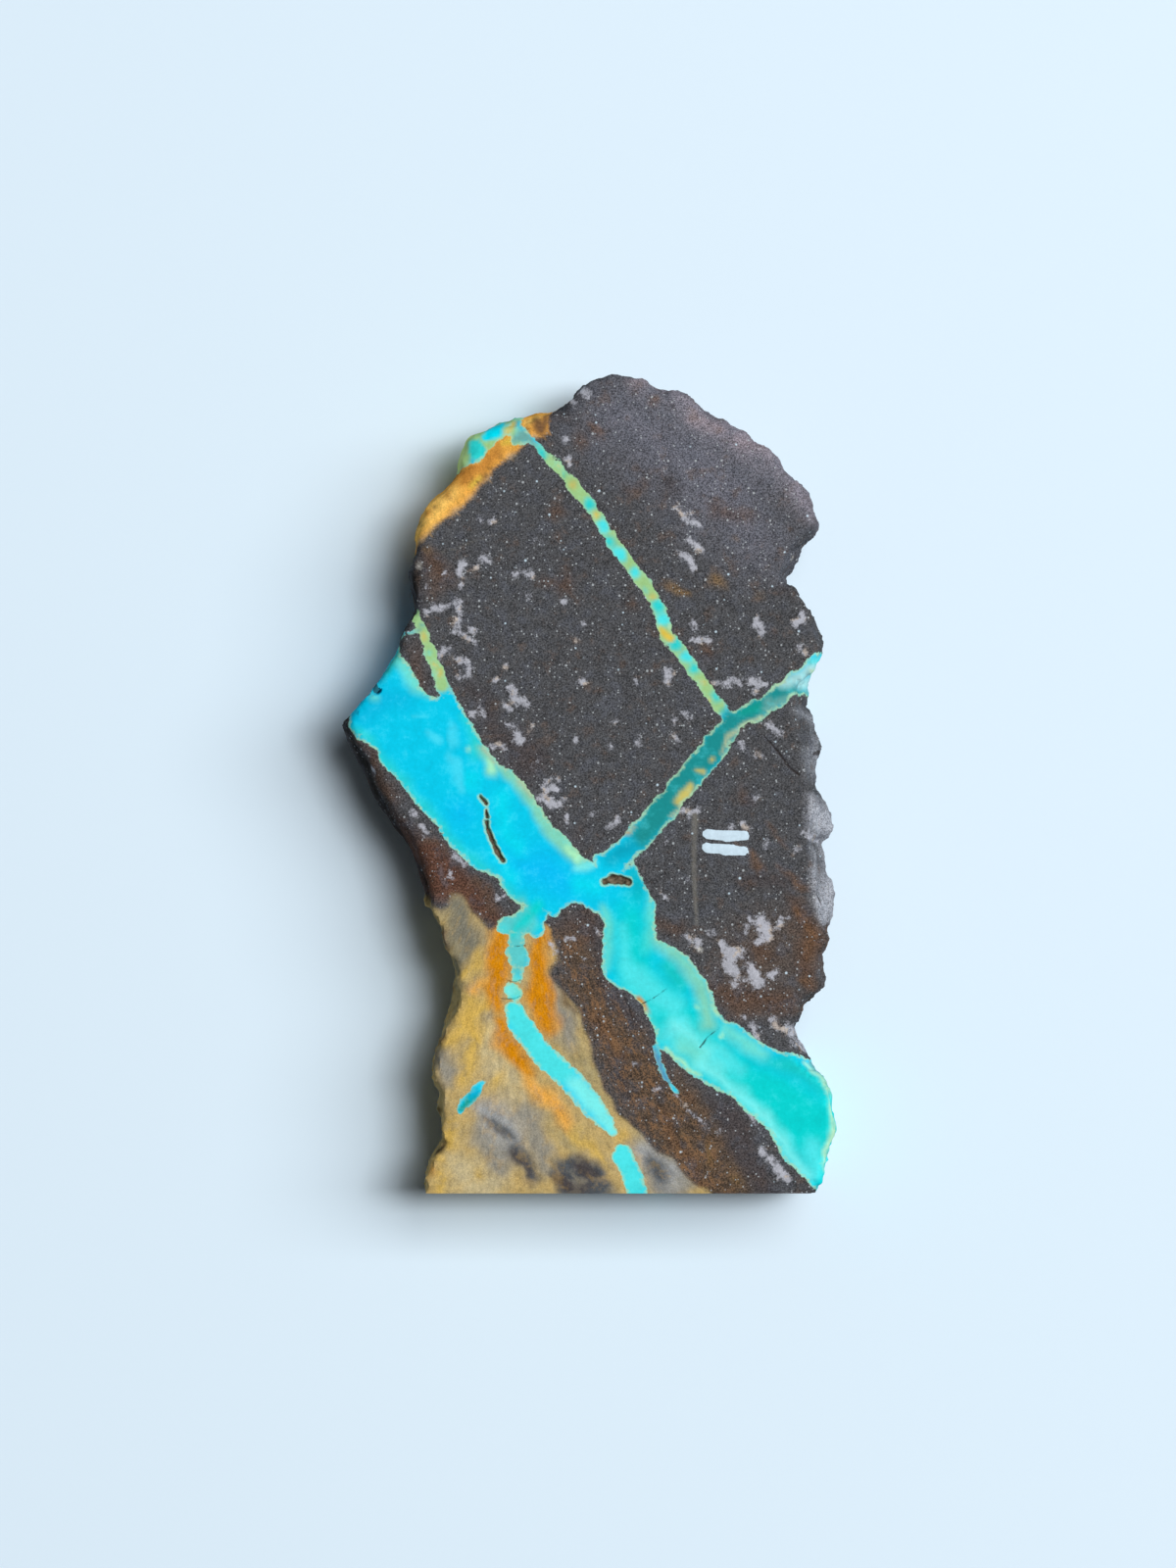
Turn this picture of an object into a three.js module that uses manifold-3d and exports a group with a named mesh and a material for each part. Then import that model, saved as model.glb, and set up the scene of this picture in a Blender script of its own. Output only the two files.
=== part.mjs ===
// A sawn slab of dark rock crossed by turquoise veins. One solid stone.
// Millimetres, +Z up. The sawn face looks up and the sawn back lies on z = 0.
// The origin is the middle of the outline's box, on the back.

import * as THREE from 'three';
import { mergeVertices } from 'three/addons/utils/BufferGeometryUtils.js';
import Module from 'manifold-3d';

const wasm = await Module();
wasm.setup();

// ---------------------------------------------------------------- driving dimensions

const THICKNESS = 13.0;          // between the two sawn faces
const SAMPLE_STEP = 0.9;         // spacing of points round the outline
const SPINE_X = 2.0;             // insets run towards this upright line through the stone
const SPINE_TOP = 30.0;          // above this height the top of the stone is round
const BLEND_LENGTH = 2.4;        // stretches of the side run into each other over this length

const GIRDLE_SWAY = 1.6;         // the widest line rises and falls this far round the side
const GIRDLE_WAVES = [5, 13];    // whole waves round the stone
const GIRDLE_SHARES = [0.6, 0.4];   // how much of the sway each run of waves makes

const DENT_COUNT = 84;           // broken scallops round the side
const DENT_DEPTH = [0.5, 2.1];   // shallowest and deepest
const DENT_SLOPE = [0.2, 0.62];  // fall towards a scallop's middle, along and across the side
const DENT_SEED = 11;

const VUG_DEPTH = 1.7;           // the two open pockets in the vein
const VUG_CLEARANCE = 1.0;       // how far the cut for a pocket stands above the face
const SLOT_LEAN = 0.3;           // the slot's width leans up by this share of its half width

const MERGE_DISTANCE = 1e-4;     // points nearer than this become one

// Rings of the side. Inset is a share of the edge above the widest line and of the foot below it.
// Dent is the share of a scallop's depth that a ring takes.
const LIP_RING = { soft: 0.45, drop: 0.3 };   // shares of the worn slope, part way down it
const UPPER_RINGS = [                         // down: share of the way from lip to widest line
  { down: 0.35, inset: 0.62, dent: 0.5 },
  { down: 0.7, inset: 0.25, dent: 0.6 },
];
const LOWER_RINGS = [                         // up: share of the way from back to widest line
  { up: 0.66, inset: 0.22, dent: 0.9 },
  { up: 0.33, inset: 0.55, dent: 1.0 },
];
const HEEL_RING = { height: 0.6, inset: 0.85, dent: 0.8 };
const BACK_RING = { chamfer: 0.4, dent: 0.8 };   // chamfer: extra inset where the back ends

// ---------------------------------------------------------------- the outline, anticlockwise
// Each stretch lists [x, y, edge]: a point of the widest outline, and how far inside it
// the sawn face ends there. Corners are where two stretches meet.
//   edge   the value where a point gives none
//   soft   width of the worn slope along the face's edge, and drop, how far it falls
//   girdle height of the widest line, and foot, how far inside it the back ends

const STRETCHES = [
  {
    // saw cut across the end
    edge: 0, soft: 0.15, drop: 0.05, girdle: 7, foot: 0, sawn: true,
    points: [[-16.8, -41.8], [23.2, -41.8]],
  },
  {
    // turquoise corner
    edge: 0.2, soft: 0.35, drop: 0.25, girdle: 9.5, foot: 1.6,
    points: [
      [23.2, -41.8], [23.8, -40.9], [24.3, -39.7], [24.5, -37.6], [25.0, -36.7], [25.5, -35.5],
    ],
  },
  {
    // turquoise swell
    edge: 0.3, soft: 0.4, drop: 0.3, girdle: 9, foot: 1.8,
    points: [
      [25.5, -35.5], [25.2, -34.5], [25.1, -32.5], [24.8, -31.0], [23.7, -29.3, 0.9],
      [22.7, -28.0, 1.3], [21.5, -25.8, 0.8], [21.2, -24.2, 0.2], [21.9, -23.9, 0.2],
    ],
  },
  {
    // brown fracture
    edge: 0.3, soft: 0.5, drop: 0.3, girdle: 9, foot: 2.2,
    points: [
      [21.9, -23.9], [21.9, -22.8], [22.8, -22.0], [23.8, -21.2], [24.2, -20.0], [24.0, -18.6],
      [23.9, -17.2], [24.8, -16.2], [24.6, -15.0, 0.5],
    ],
  },
  {
    // grey steps, lower
    edge: 1.6, soft: 0.3, drop: 0.2, girdle: 6.5, foot: 1.6,
    points: [
      [24.6, -15.0, 0.5], [25.2, -13.0, 1.2], [25.3, -12.1, 1.8], [24.8, -9.9, 1.9],
      [24.6, -8.4, 1.7], [24.2, -6.7, 1.5], [24.0, -5.9, 1.4],
    ],
  },
  {
    // grey steps, middle
    edge: 2.0, soft: 0.3, drop: 0.2, girdle: 6, foot: 1.4,
    points: [
      [24.0, -5.9, 1.4], [25.1, -5.4, 2.5], [24.9, -3.6, 2.1], [25.0, -2.5, 1.9],
      [23.9, -1.1, 1.1], [23.0, -0.2, 0.3],
    ],
  },
  {
    // grey steps, upper
    edge: 1.8, soft: 0.3, drop: 0.2, girdle: 6.5, foot: 1.4,
    points: [
      [23.0, -0.2, 0.3], [23.3, 1.2, 0.9], [23.6, 2.4, 1.4], [24.2, 3.7, 2.2], [23.8, 5.0, 2.1],
      [23.1, 6.9, 2.0], [22.6, 8.0, 1.6], [22.8, 9.1, 1.6], [22.3, 10.2, 0.7],
    ],
  },
  {
    // above the branch vein
    edge: 0.25, soft: 0.8, drop: 0.35, girdle: 9.5, foot: 1.8,
    points: [
      [22.3, 10.2, 0.5], [22.7, 10.9], [23.6, 12.0], [24.0, 13.2], [23.9, 13.9], [24.2, 14.5],
      [23.7, 15.7], [22.8, 17.9], [21.5, 19.5], [20.5, 20.6, 0.5], [20.3, 21.2, 0.9],
    ],
  },
  {
    // glassy notch
    edge: 1.4, soft: 0.2, drop: 0.1, girdle: 9, foot: 2.2,
    points: [
      [20.3, 21.2, 0.8], [20.8, 21.9, 1.0], [21.7, 22.8, 1.6], [22.0, 23.8, 1.7],
      [22.1, 24.4, 1.2], [23.0, 25.1, 0.8], [23.8, 26.2, 0.5], [23.8, 26.7, 0.3],
    ],
  },
  {
    // worn shoulder, right
    edge: 0.2, soft: 2.6, drop: 0.8, girdle: 10, foot: 2.2,
    points: [
      [23.8, 26.7], [23.0, 28.5], [22.8, 29.6], [22.0, 30.7], [21.0, 31.3], [20.5, 32.0],
    ],
  },
  {
    // worn shoulder, scallops
    edge: 0.2, soft: 4.2, drop: 1.1, girdle: 9.8, foot: 2.6,
    points: [
      [20.5, 32.0], [19.7, 33.2], [19.4, 33.8], [18.0, 34.5], [16.8, 35.3], [16.3, 36.0],
      [15.3, 36.2], [14.0, 36.8], [12.5, 37.4], [11.5, 38.6], [10.8, 39.0], [10.0, 39.9],
    ],
  },
  {
    // worn crown
    edge: 0.2, soft: 2.2, drop: 0.7, girdle: 10, foot: 2.2,
    points: [
      [10.0, 39.9], [8.5, 40.4], [6.8, 40.7], [6.4, 41.4], [5.0, 41.6], [3.7, 41.8],
      [2.0, 41.6], [0.5, 41.1], [-1.0, 40.1], [-2.2, 39.1], [-3.0, 38.3],
    ],
  },
  {
    // turquoise crust
    edge: 0.3, soft: 1.4, drop: 0.7, girdle: 9.5, foot: 1.6,
    points: [
      [-3.0, 38.3], [-4.0, 37.9], [-6.0, 37.6], [-8.0, 37.2], [-9.5, 36.8], [-11.0, 36.1],
      [-12.3, 35.7], [-12.9, 34.1], [-13.5, 33.1], [-13.4, 32.0],
    ],
  },
  {
    // ochre crust
    edge: 0.3, soft: 1.6, drop: 0.8, girdle: 9, foot: 1.6,
    points: [
      [-13.4, 32.0], [-14.5, 30.6], [-15.9, 29.2], [-16.7, 28.3], [-17.3, 27.1], [-17.8, 25.5],
    ],
  },
  {
    // left flank
    edge: 0.3, soft: 0.8, drop: 0.4, girdle: 8, foot: 1.5,
    points: [
      [-17.8, 25.5], [-17.8, 23.5], [-18.3, 21.8], [-18.0, 18.8], [-17.6, 17.9],
    ],
  },
  {
    // left flank, below the small vein
    edge: 0.2, soft: 0.5, drop: 0.3, girdle: 8.5, foot: 1.5,
    points: [
      [-17.6, 17.9], [-18.5, 16.5], [-19.3, 15.2], [-19.4, 13.8], [-20.4, 12.4], [-21.0, 11.2],
      [-22.2, 9.7], [-23.8, 7.9], [-25.5, 6.0, 0.6],
    ],
  },
  {
    // dark rind
    edge: 1.1, soft: 0.9, drop: 0.6, girdle: 7, foot: 1.3,
    points: [
      [-25.5, 6.0, 0.6], [-24.5, 3.8, 1.1], [-23.2, 1.2, 1.4], [-22.0, -1.6, 1.5], [-20.5, -3.7, 1.3],
      [-19.0, -5.7, 1.1], [-18.2, -7.3, 0.9], [-17.0, -11.0, 0.7], [-16.9, -12.5, 0.5],
    ],
  },
  {
    // lower left, pinched in
    edge: 0.4, soft: 0.8, drop: 0.5, girdle: 8, foot: 1.2,
    points: [
      [-16.9, -12.5], [-16.1, -13.0], [-15.7, -14.1], [-15.1, -14.8], [-15.0, -16.3],
      [-14.3, -17.8], [-13.3, -19.5],
    ],
  },
  {
    // lower left, ochre
    edge: 0.3, soft: 0.7, drop: 0.4, girdle: 8, foot: 1.4,
    points: [
      [-13.3, -19.5], [-13.6, -21.2], [-13.9, -23.0], [-14.8, -25.0], [-15.4, -26.8],
      [-16.1, -29.3], [-15.4, -31.3], [-15.4, -33.0], [-15.1, -34.3], [-15.2, -35.5],
      [-14.9, -36.5],
    ],
  },
  {
    // foot of the ochre
    edge: 0.3, soft: 0.5, drop: 0.3, girdle: 8, foot: 1.2,
    points: [
      [-14.9, -36.5], [-15.1, -37.3], [-16.0, -38.0], [-16.6, -39.3], [-16.9, -40.7],
      [-16.8, -41.8],
    ],
  },
];

// The slot in the main vein and the lens where the branch leaves it: [x, y, half width].
const SLOT_VUG = [
  [-10.9, -1.1, 0.15], [-10.4, -2.2, 0.32], [-10.4, -3.7, 0.18], [-10.0, -5.2, 0.38],
  [-9.2, -6.8, 0.4], [-8.5, -7.9, 0.16],
];
const LENS_VUG = [
  [1.5, -10.0, 0.12], [2.2, -9.7, 0.45], [3.1, -9.7, 0.62], [4.0, -10.0, 0.4], [4.6, -10.3, 0.12],
];

// ---------------------------------------------------------------- small helpers

function mix(a, b, t) {
  return a + (b - a) * t;
}

// A repeatable run of numbers from 0 to 1.
function seededRandom(seed) {
  let state = seed >>> 0;
  return () => {
    state = (Math.imul(state, 1664525) + 1013904223) >>> 0;
    return state / 4294967296;
  };
}

// ---------------------------------------------------------------- round the outline

// Sample one stretch at an even spacing. The edge value runs evenly between its points.
// The saw cut is one straight side, from corner to corner.
function sampleStretch(stretch) {
  const corners = stretch.points.map(([x, y]) => new THREE.Vector3(x, y, 0));
  const curve = new THREE.CatmullRomCurve3(corners, false, 'centripetal');
  const count = stretch.sawn ? 1 : Math.max(2, Math.round(curve.getLength() / SAMPLE_STEP));
  const samples = [];
  for (let i = 0; i < count; i += 1) {
    const along = curve.getUtoTmapping(i / count) * (corners.length - 1);
    const before = Math.min(Math.floor(along), corners.length - 2);
    const edgeBefore = stretch.points[before][2] ?? stretch.edge;
    const edgeAfter = stretch.points[before + 1][2] ?? stretch.edge;
    const spot = curve.getPoint(along / (corners.length - 1));
    samples.push({
      x: spot.x,
      y: spot.y,
      edge: mix(edgeBefore, edgeAfter, along - before),
      soft: stretch.soft,
      drop: stretch.drop,
      girdle: stretch.girdle,
      foot: stretch.foot,
      sawn: stretch.sawn === true,
    });
  }
  return samples;
}

// Average one property with its neighbours, so that stretches run into each other.
// The saw cut stays as it is.
function blendProperty(samples, name) {
  const reach = Math.round(BLEND_LENGTH / SAMPLE_STEP);
  const blended = samples.map((sample, i) => {
    let sum = 0;
    for (let k = -reach; k <= reach; k += 1) {
      sum += samples[(i + k + samples.length) % samples.length][name];
    }
    return sample.sawn ? sample[name] : sum / (2 * reach + 1);
  });
  samples.forEach((sample, i) => {
    sample[name] = blended[i];
  });
}

function sampleOutline() {
  const samples = STRETCHES.flatMap(sampleStretch);
  for (const name of ['soft', 'drop', 'girdle', 'foot']) {
    blendProperty(samples, name);
  }
  samples.forEach((sample, i) => {
    const turn = 2 * Math.PI * i / samples.length;
    const sway = Math.sin(GIRDLE_WAVES[0] * turn) * GIRDLE_SHARES[0]
      + Math.sin(GIRDLE_WAVES[1] * turn + 1) * GIRDLE_SHARES[1];
    sample.girdle += sample.sawn ? 0 : GIRDLE_SWAY * sway;
  });
  let length = 0;
  samples.forEach((sample, i) => {
    const next = samples[(i + 1) % samples.length];
    const inwardX = SPINE_X - sample.x;
    const inwardY = Math.min(SPINE_TOP - sample.y, 0);
    const reach = Math.hypot(inwardX, inwardY);
    sample.inward = [inwardX / reach, inwardY / reach];
    sample.along = length;
    length += Math.hypot(next.x - sample.x, next.y - sample.y);
  });
  return { samples, length };
}

// ---------------------------------------------------------------- broken scallops

// Each scallop is a four-sided dent with a place round the side and a height.
function makeDents(length) {
  const random = seededRandom(DENT_SEED);
  const dents = [];
  for (let i = 0; i < DENT_COUNT; i += 1) {
    dents.push({
      along: length * (i + random()) / DENT_COUNT,
      height: THICKNESS * random(),
      depth: mix(DENT_DEPTH[0], DENT_DEPTH[1], random() ** 2),
      slopeAlong: mix(DENT_SLOPE[0], DENT_SLOPE[1], random()),
      slopeAcross: mix(DENT_SLOPE[0], DENT_SLOPE[1], random()),
    });
  }
  return dents;
}

function dentDepth(dents, length, along, height) {
  let deepest = 0;
  for (const dent of dents) {
    const gap = Math.abs(along - dent.along);
    const round = Math.min(gap, length - gap);
    const depth = dent.depth - round * dent.slopeAlong - Math.abs(height - dent.height) * dent.slopeAcross;
    deepest = Math.max(deepest, depth);
  }
  return deepest;
}

// ---------------------------------------------------------------- the side, as rings

// One upright profile at a sample, from the face down to the back: [inset, height] pairs.
// Scallops fade out at the widest line, so that the outline keeps its size.
function sideProfile(sample, dents, length) {
  const lip = THICKNESS - sample.drop;
  const above = lip - sample.girdle;
  const dent = (height, share) => (
    sample.sawn ? 0 : share * dentDepth(dents, length, sample.along, height)
  );
  const upper = UPPER_RINGS.map((ring) => {
    const height = lip - above * ring.down;
    return [sample.edge * ring.inset + dent(height, ring.dent), height];
  });
  const lower = LOWER_RINGS.map((ring) => {
    const height = sample.girdle * ring.up;
    return [sample.foot * ring.inset + dent(height, ring.dent), height];
  });
  const chamfer = sample.sawn ? 0 : BACK_RING.chamfer;
  return [
    [sample.edge + sample.soft, THICKNESS],
    [sample.edge + sample.soft * LIP_RING.soft, THICKNESS - sample.drop * LIP_RING.drop],
    [sample.edge, lip],
    ...upper,
    [0, sample.girdle],
    ...lower,
    [sample.foot * HEEL_RING.inset + dent(HEEL_RING.height, HEEL_RING.dent), HEEL_RING.height],
    [sample.foot + dent(0, BACK_RING.dent) + chamfer, 0],
  ];
}

// Close the rings with a flat cap at each end. The outer rings come first.
function buildSlab() {
  const { samples, length } = sampleOutline();
  const dents = makeDents(length);
  const profiles = samples.map((sample) => sideProfile(sample, dents, length));
  const ringCount = profiles[0].length;
  const count = samples.length;
  const positions = [];
  for (let ring = 0; ring < ringCount; ring += 1) {
    samples.forEach((sample, i) => {
      const [inset, height] = profiles[i][ring];
      positions.push(sample.x + sample.inward[0] * inset, sample.y + sample.inward[1] * inset, height);
    });
  }

  const index = [];
  for (let ring = 0; ring < ringCount - 1; ring += 1) {
    for (let i = 0; i < count; i += 1) {
      const next = (i + 1) % count;
      const a = ring * count + i;
      const b = ring * count + next;
      const c = (ring + 1) * count + i;
      const d = (ring + 1) * count + next;
      index.push(a, c, b, b, c, d);
    }
  }
  for (const [ring, flip] of [[0, false], [ringCount - 1, true]]) {
    const start = ring * count;
    const rim = samples.map((_, i) => (
      new THREE.Vector2(positions[3 * (start + i)], positions[3 * (start + i) + 1])
    ));
    for (const [a, b, c] of THREE.ShapeUtils.triangulateShape(rim, [])) {
      index.push(start + a, start + (flip ? c : b), start + (flip ? b : c));
    }
  }

  const geometry = new THREE.BufferGeometry();
  geometry.setAttribute('position', new THREE.Float32BufferAttribute(positions, 3));
  geometry.setIndex(index);
  return geometry;
}

// ---------------------------------------------------------------- open pockets in the vein

// A pocket follows a bent middle line with a half width at each point.
function buildVug(line) {
  const left = line.map(([x, y, half]) => new THREE.Vector2(x - half, y - half * SLOT_LEAN));
  const right = line.map(([x, y, half]) => new THREE.Vector2(x + half, y + half * SLOT_LEAN)).reverse();
  return extrudeVug([...left, ...right]);
}

// The lens lies across, so its width is measured upwards.
function buildLens(line) {
  const lower = line.map(([x, y, half]) => new THREE.Vector2(x, y - half));
  const upper = line.map(([x, y, half]) => new THREE.Vector2(x, y + half)).reverse();
  return extrudeVug([...lower, ...upper]);
}

function extrudeVug(outline) {
  const geometry = new THREE.ExtrudeGeometry(new THREE.Shape(outline), {
    depth: VUG_DEPTH + VUG_CLEARANCE,
    bevelEnabled: false,
  });
  geometry.translate(0, 0, THICKNESS - VUG_DEPTH);
  return geometry;
}

// ---------------------------------------------------------------- joining and cutting

function toSolid(geometry) {
  const bare = geometry.clone();
  bare.deleteAttribute('normal');
  bare.deleteAttribute('uv');
  const merged = mergeVertices(bare, MERGE_DISTANCE);
  return new wasm.Manifold(new wasm.Mesh({
    numProp: 3,
    vertProperties: Float32Array.from(merged.attributes.position.array),
    triVerts: Uint32Array.from(merged.index.array),
  }));
}

function toGeometry(solid) {
  const mesh = solid.getMesh();
  const geometry = new THREE.BufferGeometry();
  geometry.setAttribute('position', new THREE.BufferAttribute(mesh.vertProperties, 3));
  geometry.setIndex(new THREE.BufferAttribute(mesh.triVerts, 1));
  geometry.computeVertexNormals();
  return geometry;
}

// ---------------------------------------------------------------- the part

const stone = new THREE.MeshStandardMaterial({ color: 0x4f4b4d, roughness: 0.55, metalness: 0 });

const slabSolid = toSolid(buildSlab())
  .subtract(toSolid(buildVug(SLOT_VUG)))
  .subtract(toSolid(buildLens(LENS_VUG)));

const slab = new THREE.Mesh(toGeometry(slabSolid), stone);
slab.name = 'turquoise_slab';

const part = new THREE.Group();
part.add(slab);

export default part;
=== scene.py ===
"""A sawn slab of dark rock crossed by turquoise veins, on a plain pale floor.

Blender objects are in metres. Lists of places on the stone are in millimetres, in the
stone's own frame: x to the right, y along the slab, the sawn face on top.
"""

import math

import bpy
import numpy as np
from bpy.props import FloatProperty, FloatVectorProperty, PointerProperty
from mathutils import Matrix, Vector, noise


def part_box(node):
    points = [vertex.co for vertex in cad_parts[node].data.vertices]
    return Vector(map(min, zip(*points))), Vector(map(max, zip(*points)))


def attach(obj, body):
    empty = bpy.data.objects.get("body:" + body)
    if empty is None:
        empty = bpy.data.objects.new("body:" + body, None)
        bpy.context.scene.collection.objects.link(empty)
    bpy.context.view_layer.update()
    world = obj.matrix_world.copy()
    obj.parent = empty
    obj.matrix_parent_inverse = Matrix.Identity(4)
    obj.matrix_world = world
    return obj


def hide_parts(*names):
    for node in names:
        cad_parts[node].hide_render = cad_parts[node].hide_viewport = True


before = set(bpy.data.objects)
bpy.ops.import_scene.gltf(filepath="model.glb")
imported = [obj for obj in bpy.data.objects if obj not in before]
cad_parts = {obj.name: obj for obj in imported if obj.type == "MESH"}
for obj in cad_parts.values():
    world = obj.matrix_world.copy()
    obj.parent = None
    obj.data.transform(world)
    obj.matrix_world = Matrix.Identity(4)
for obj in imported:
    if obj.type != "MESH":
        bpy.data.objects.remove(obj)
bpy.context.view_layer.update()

bl_info = {
    "name": "Turquoise vein slab",
    "version": (1, 0, 0),
    "blender": (4, 5, 0),
    "location": "View3D > Sidebar > Slab",
    "description": "Builds a sawn slab of dark rock with turquoise veins and the stage it lies on",
    "category": "Object",
}

NODE = "turquoise_slab"
BODY = "root"
LOW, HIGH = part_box(NODE)
MM = 0.001
TOP_MM = HIGH.z / MM
PICTURE = (1200, 1600)
SENSOR = 36.0
LIGHT_LEVEL = 1.15      # how bright a white surface is on the stage, with 1 the brightest shown
VEIN_SLANT = (0.22, -0.1)   # how far the veins move sideways for each mm of depth
END_DRIFT = 1.8         # how far the pattern wanders down the end cut, in mm
DRIFT_DEPTHS = (0.3, 4.0)   # depths in mm where the wandering starts and where it is full
SLIVER = 0.01 * MM      # points nearer to each other than this become one
LAMP_HEIGHT = 2.5       # the level panels have one corner above the stone
FAN_MIDDLE = (-7.5, -3.0)   # where the fibres of the ground spread from


# ---------------------------------------------------------------- the stone's pattern, in mm

# Boundary of the main vein on the face, round the whole vein. It runs out past the sides.
MAIN_VEIN = [
    (-19.4, 13.8), (-18.4, 12.2), (-17.6, 11.0), (-17.1, 10.0), (-16.4, 9.2), (-15.5, 8.8),
    (-14.3, 9.8), (-13.0, 8.1), (-11.7, 5.8), (-10.4, 3.7), (-9.0, 2.0), (-7.7, 1.3),
    (-6.5, 0.1), (-5.0, -2.2), (-3.9, -3.9), (-2.5, -5.1), (-1.4, -6.4), (-0.2, -7.7),
    (0.8, -8.0), (3.6, -8.6), (4.7, -7.9), (5.3, -9.1), (6.2, -10.9), (6.9, -12.7),
    (7.0, -15.7), (8.5, -16.5), (9.8, -17.2), (10.9, -18.5), (12.3, -20.5), (12.9, -22.5),
    (13.8, -23.8), (15.2, -24.5), (16.5, -25.4), (18.1, -26.5), (19.6, -27.2), (21.2, -27.5),
    (21.9, -27.9), (27.0, -30.0), (27.0, -43.0), (24.0, -43.0), (23.2, -41.6), (22.3, -40.6),
    (21.4, -39.5), (20.1, -38.4), (19.2, -36.8), (18.3, -35.2), (17.0, -34.1), (15.6, -33.0),
    (14.7, -31.9), (13.6, -31.5), (12.3, -30.8), (10.7, -29.7), (9.1, -28.5), (8.0, -27.4),
    (6.9, -26.8), (6.7, -25.2), (6.0, -23.6), (5.0, -22.0), (4.1, -21.3), (2.5, -20.5),
    (1.5, -19.2), (1.5, -15.4), (1.4, -13.7), (0.1, -12.9), (-1.2, -12.2), (-2.4, -12.6),
    (-3.3, -13.6), (-3.9, -13.4), (-6.6, -12.5), (-7.5, -12.0), (-8.6, -10.7), (-9.5, -9.4),
    (-11.1, -9.0), (-12.5, -7.8), (-13.7, -6.6), (-14.8, -5.3), (-15.6, -4.0), (-17.0, -2.8),
    (-18.0, -1.5), (-18.9, -0.1), (-20.1, 1.1), (-21.1, 2.0), (-21.7, 3.4), (-22.8, 4.2),
    (-24.2, 5.2), (-24.7, 6.8), (-26.0, 8.5), (-24.0, 13.0), (-20.5, 15.0),
]

# Veins as chains of round spots: x, y, half width.
BRANCH_VEIN = [
    (2.0, -8.4, 1.6), (3.8, -7.0, 1.35), (6.0, -4.6, 1.3), (8.3, -1.8, 1.36), (10.1, 0.3, 1.35),
    (11.4, 1.9, 1.4), (13.3, 4.4, 1.27), (14.7, 6.2, 1.1), (17.4, 7.6, 1.15), (19.4, 9.0, 1.05),
    (21.1, 10.4, 1.0), (22.7, 11.9, 0.75), (25.0, 13.8, 0.7),
]
THIN_VEIN = [
    (-5.9, 35.2, 0.35), (-4.6, 33.6, 0.42), (-3.1, 32.4, 0.5), (-2.0, 31.0, 0.6),
    (-0.9, 29.7, 0.65), (0.0, 28.7, 0.6), (1.2, 27.0, 0.5), (2.2, 25.2, 0.62), (4.0, 22.7, 0.65),
    (5.8, 20.3, 0.62), (6.9, 18.7, 0.62), (7.6, 17.0, 0.65), (8.0, 15.2, 0.75), (9.4, 13.6, 0.65),
    (10.7, 11.6, 0.68), (12.1, 9.7, 0.6), (13.0, 8.4, 0.6), (14.0, 7.2, 0.55),
]
SMALL_VEIN = [
    (-17.9, 17.6, 0.36), (-17.0, 16.0, 0.5), (-16.6, 14.8, 0.52), (-16.0, 13.2, 0.56),
    (-15.4, 11.8, 0.6), (-14.8, 10.0, 0.65),
]
SMALL_TWIG = [(-17.2, 15.7, 0.14), (-18.5, 15.4, 0.12), (-19.4, 15.1, 0.18)]
STRAND = [
    [(-5.5, -13.3, 1.4), (-7.0, -14.3, 1.2)], [(-8.4, -14.5, 0.9), (-7.4, -14.3, 1.0)],
    [(-5.2, -14.8, 0.9), (-5.9, -14.2, 1.0)], [(-7.3, -15.6, 0.8), (-7.3, -16.0, 0.9)],
    [(-7.4, -17.2, 1.0), (-7.0, -17.8, 1.1)], [(-7.2, -18.9, 0.6), (-7.2, -19.8, 0.55)],
    [(-7.8, -21.0, 0.75), (-7.5, -21.4, 0.8)],
    [(-7.6, -23.0, 0.9), (-7.1, -24.2, 1.2), (-6.2, -25.6, 1.25), (-5.2, -27.0, 1.15),
     (-3.9, -28.3, 1.2), (-2.3, -29.7, 1.2), (-0.9, -31.2, 1.25), (0.4, -32.8, 1.2),
     (1.7, -34.4, 0.9), (2.5, -35.6, 0.45)],
    [(3.5, -37.9, 1.1), (4.2, -39.2, 1.0), (4.8, -41.0, 1.05), (5.3, -43.0, 1.1)],
]
CHIP = [(-13.0, -33.3, 0.45), (-12.6, -32.6, 0.55), (-11.9, -31.9, 0.6), (-11.3, -31.2, 0.5),
        (-10.8, -30.5, 0.2)]
BLUE_TWIG = [(6.9, -26.8, 0.3), (7.2, -28.4, 0.32), (7.9, -29.9, 0.3), (8.6, -30.9, 0.18),
             (9.2, -31.6, 0.1)]

# Crust at the upper left: the turquoise cap, and the ochre band under it.
CAP_CRUST = [
    (-13.6, 32.1), (-12.3, 32.6), (-10.9, 32.9), (-10.1, 34.1), (-9.0, 35.1), (-8.1, 35.6),
    (-7.6, 34.6), (-6.6, 34.6), (-5.8, 35.2), (-6.2, 36.2), (-7.0, 37.0), (-7.4, 40.0),
    (-10.0, 40.0), (-15.0, 38.0), (-16.5, 33.0),
]
BAND_CRUST = [
    (-18.8, 24.2), (-17.5, 24.6), (-16.2, 25.5), (-14.8, 26.7), (-13.4, 27.8), (-12.2, 28.8),
    (-10.9, 30.1), (-10.2, 31.0), (-9.2, 32.3), (-8.0, 33.2), (-7.0, 34.0), (-6.0, 34.9),
    (-5.0, 35.4), (-4.2, 36.0), (-4.2, 37.0), (-4.8, 40.0), (-15.0, 40.0), (-21.0, 30.0),
]

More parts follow.
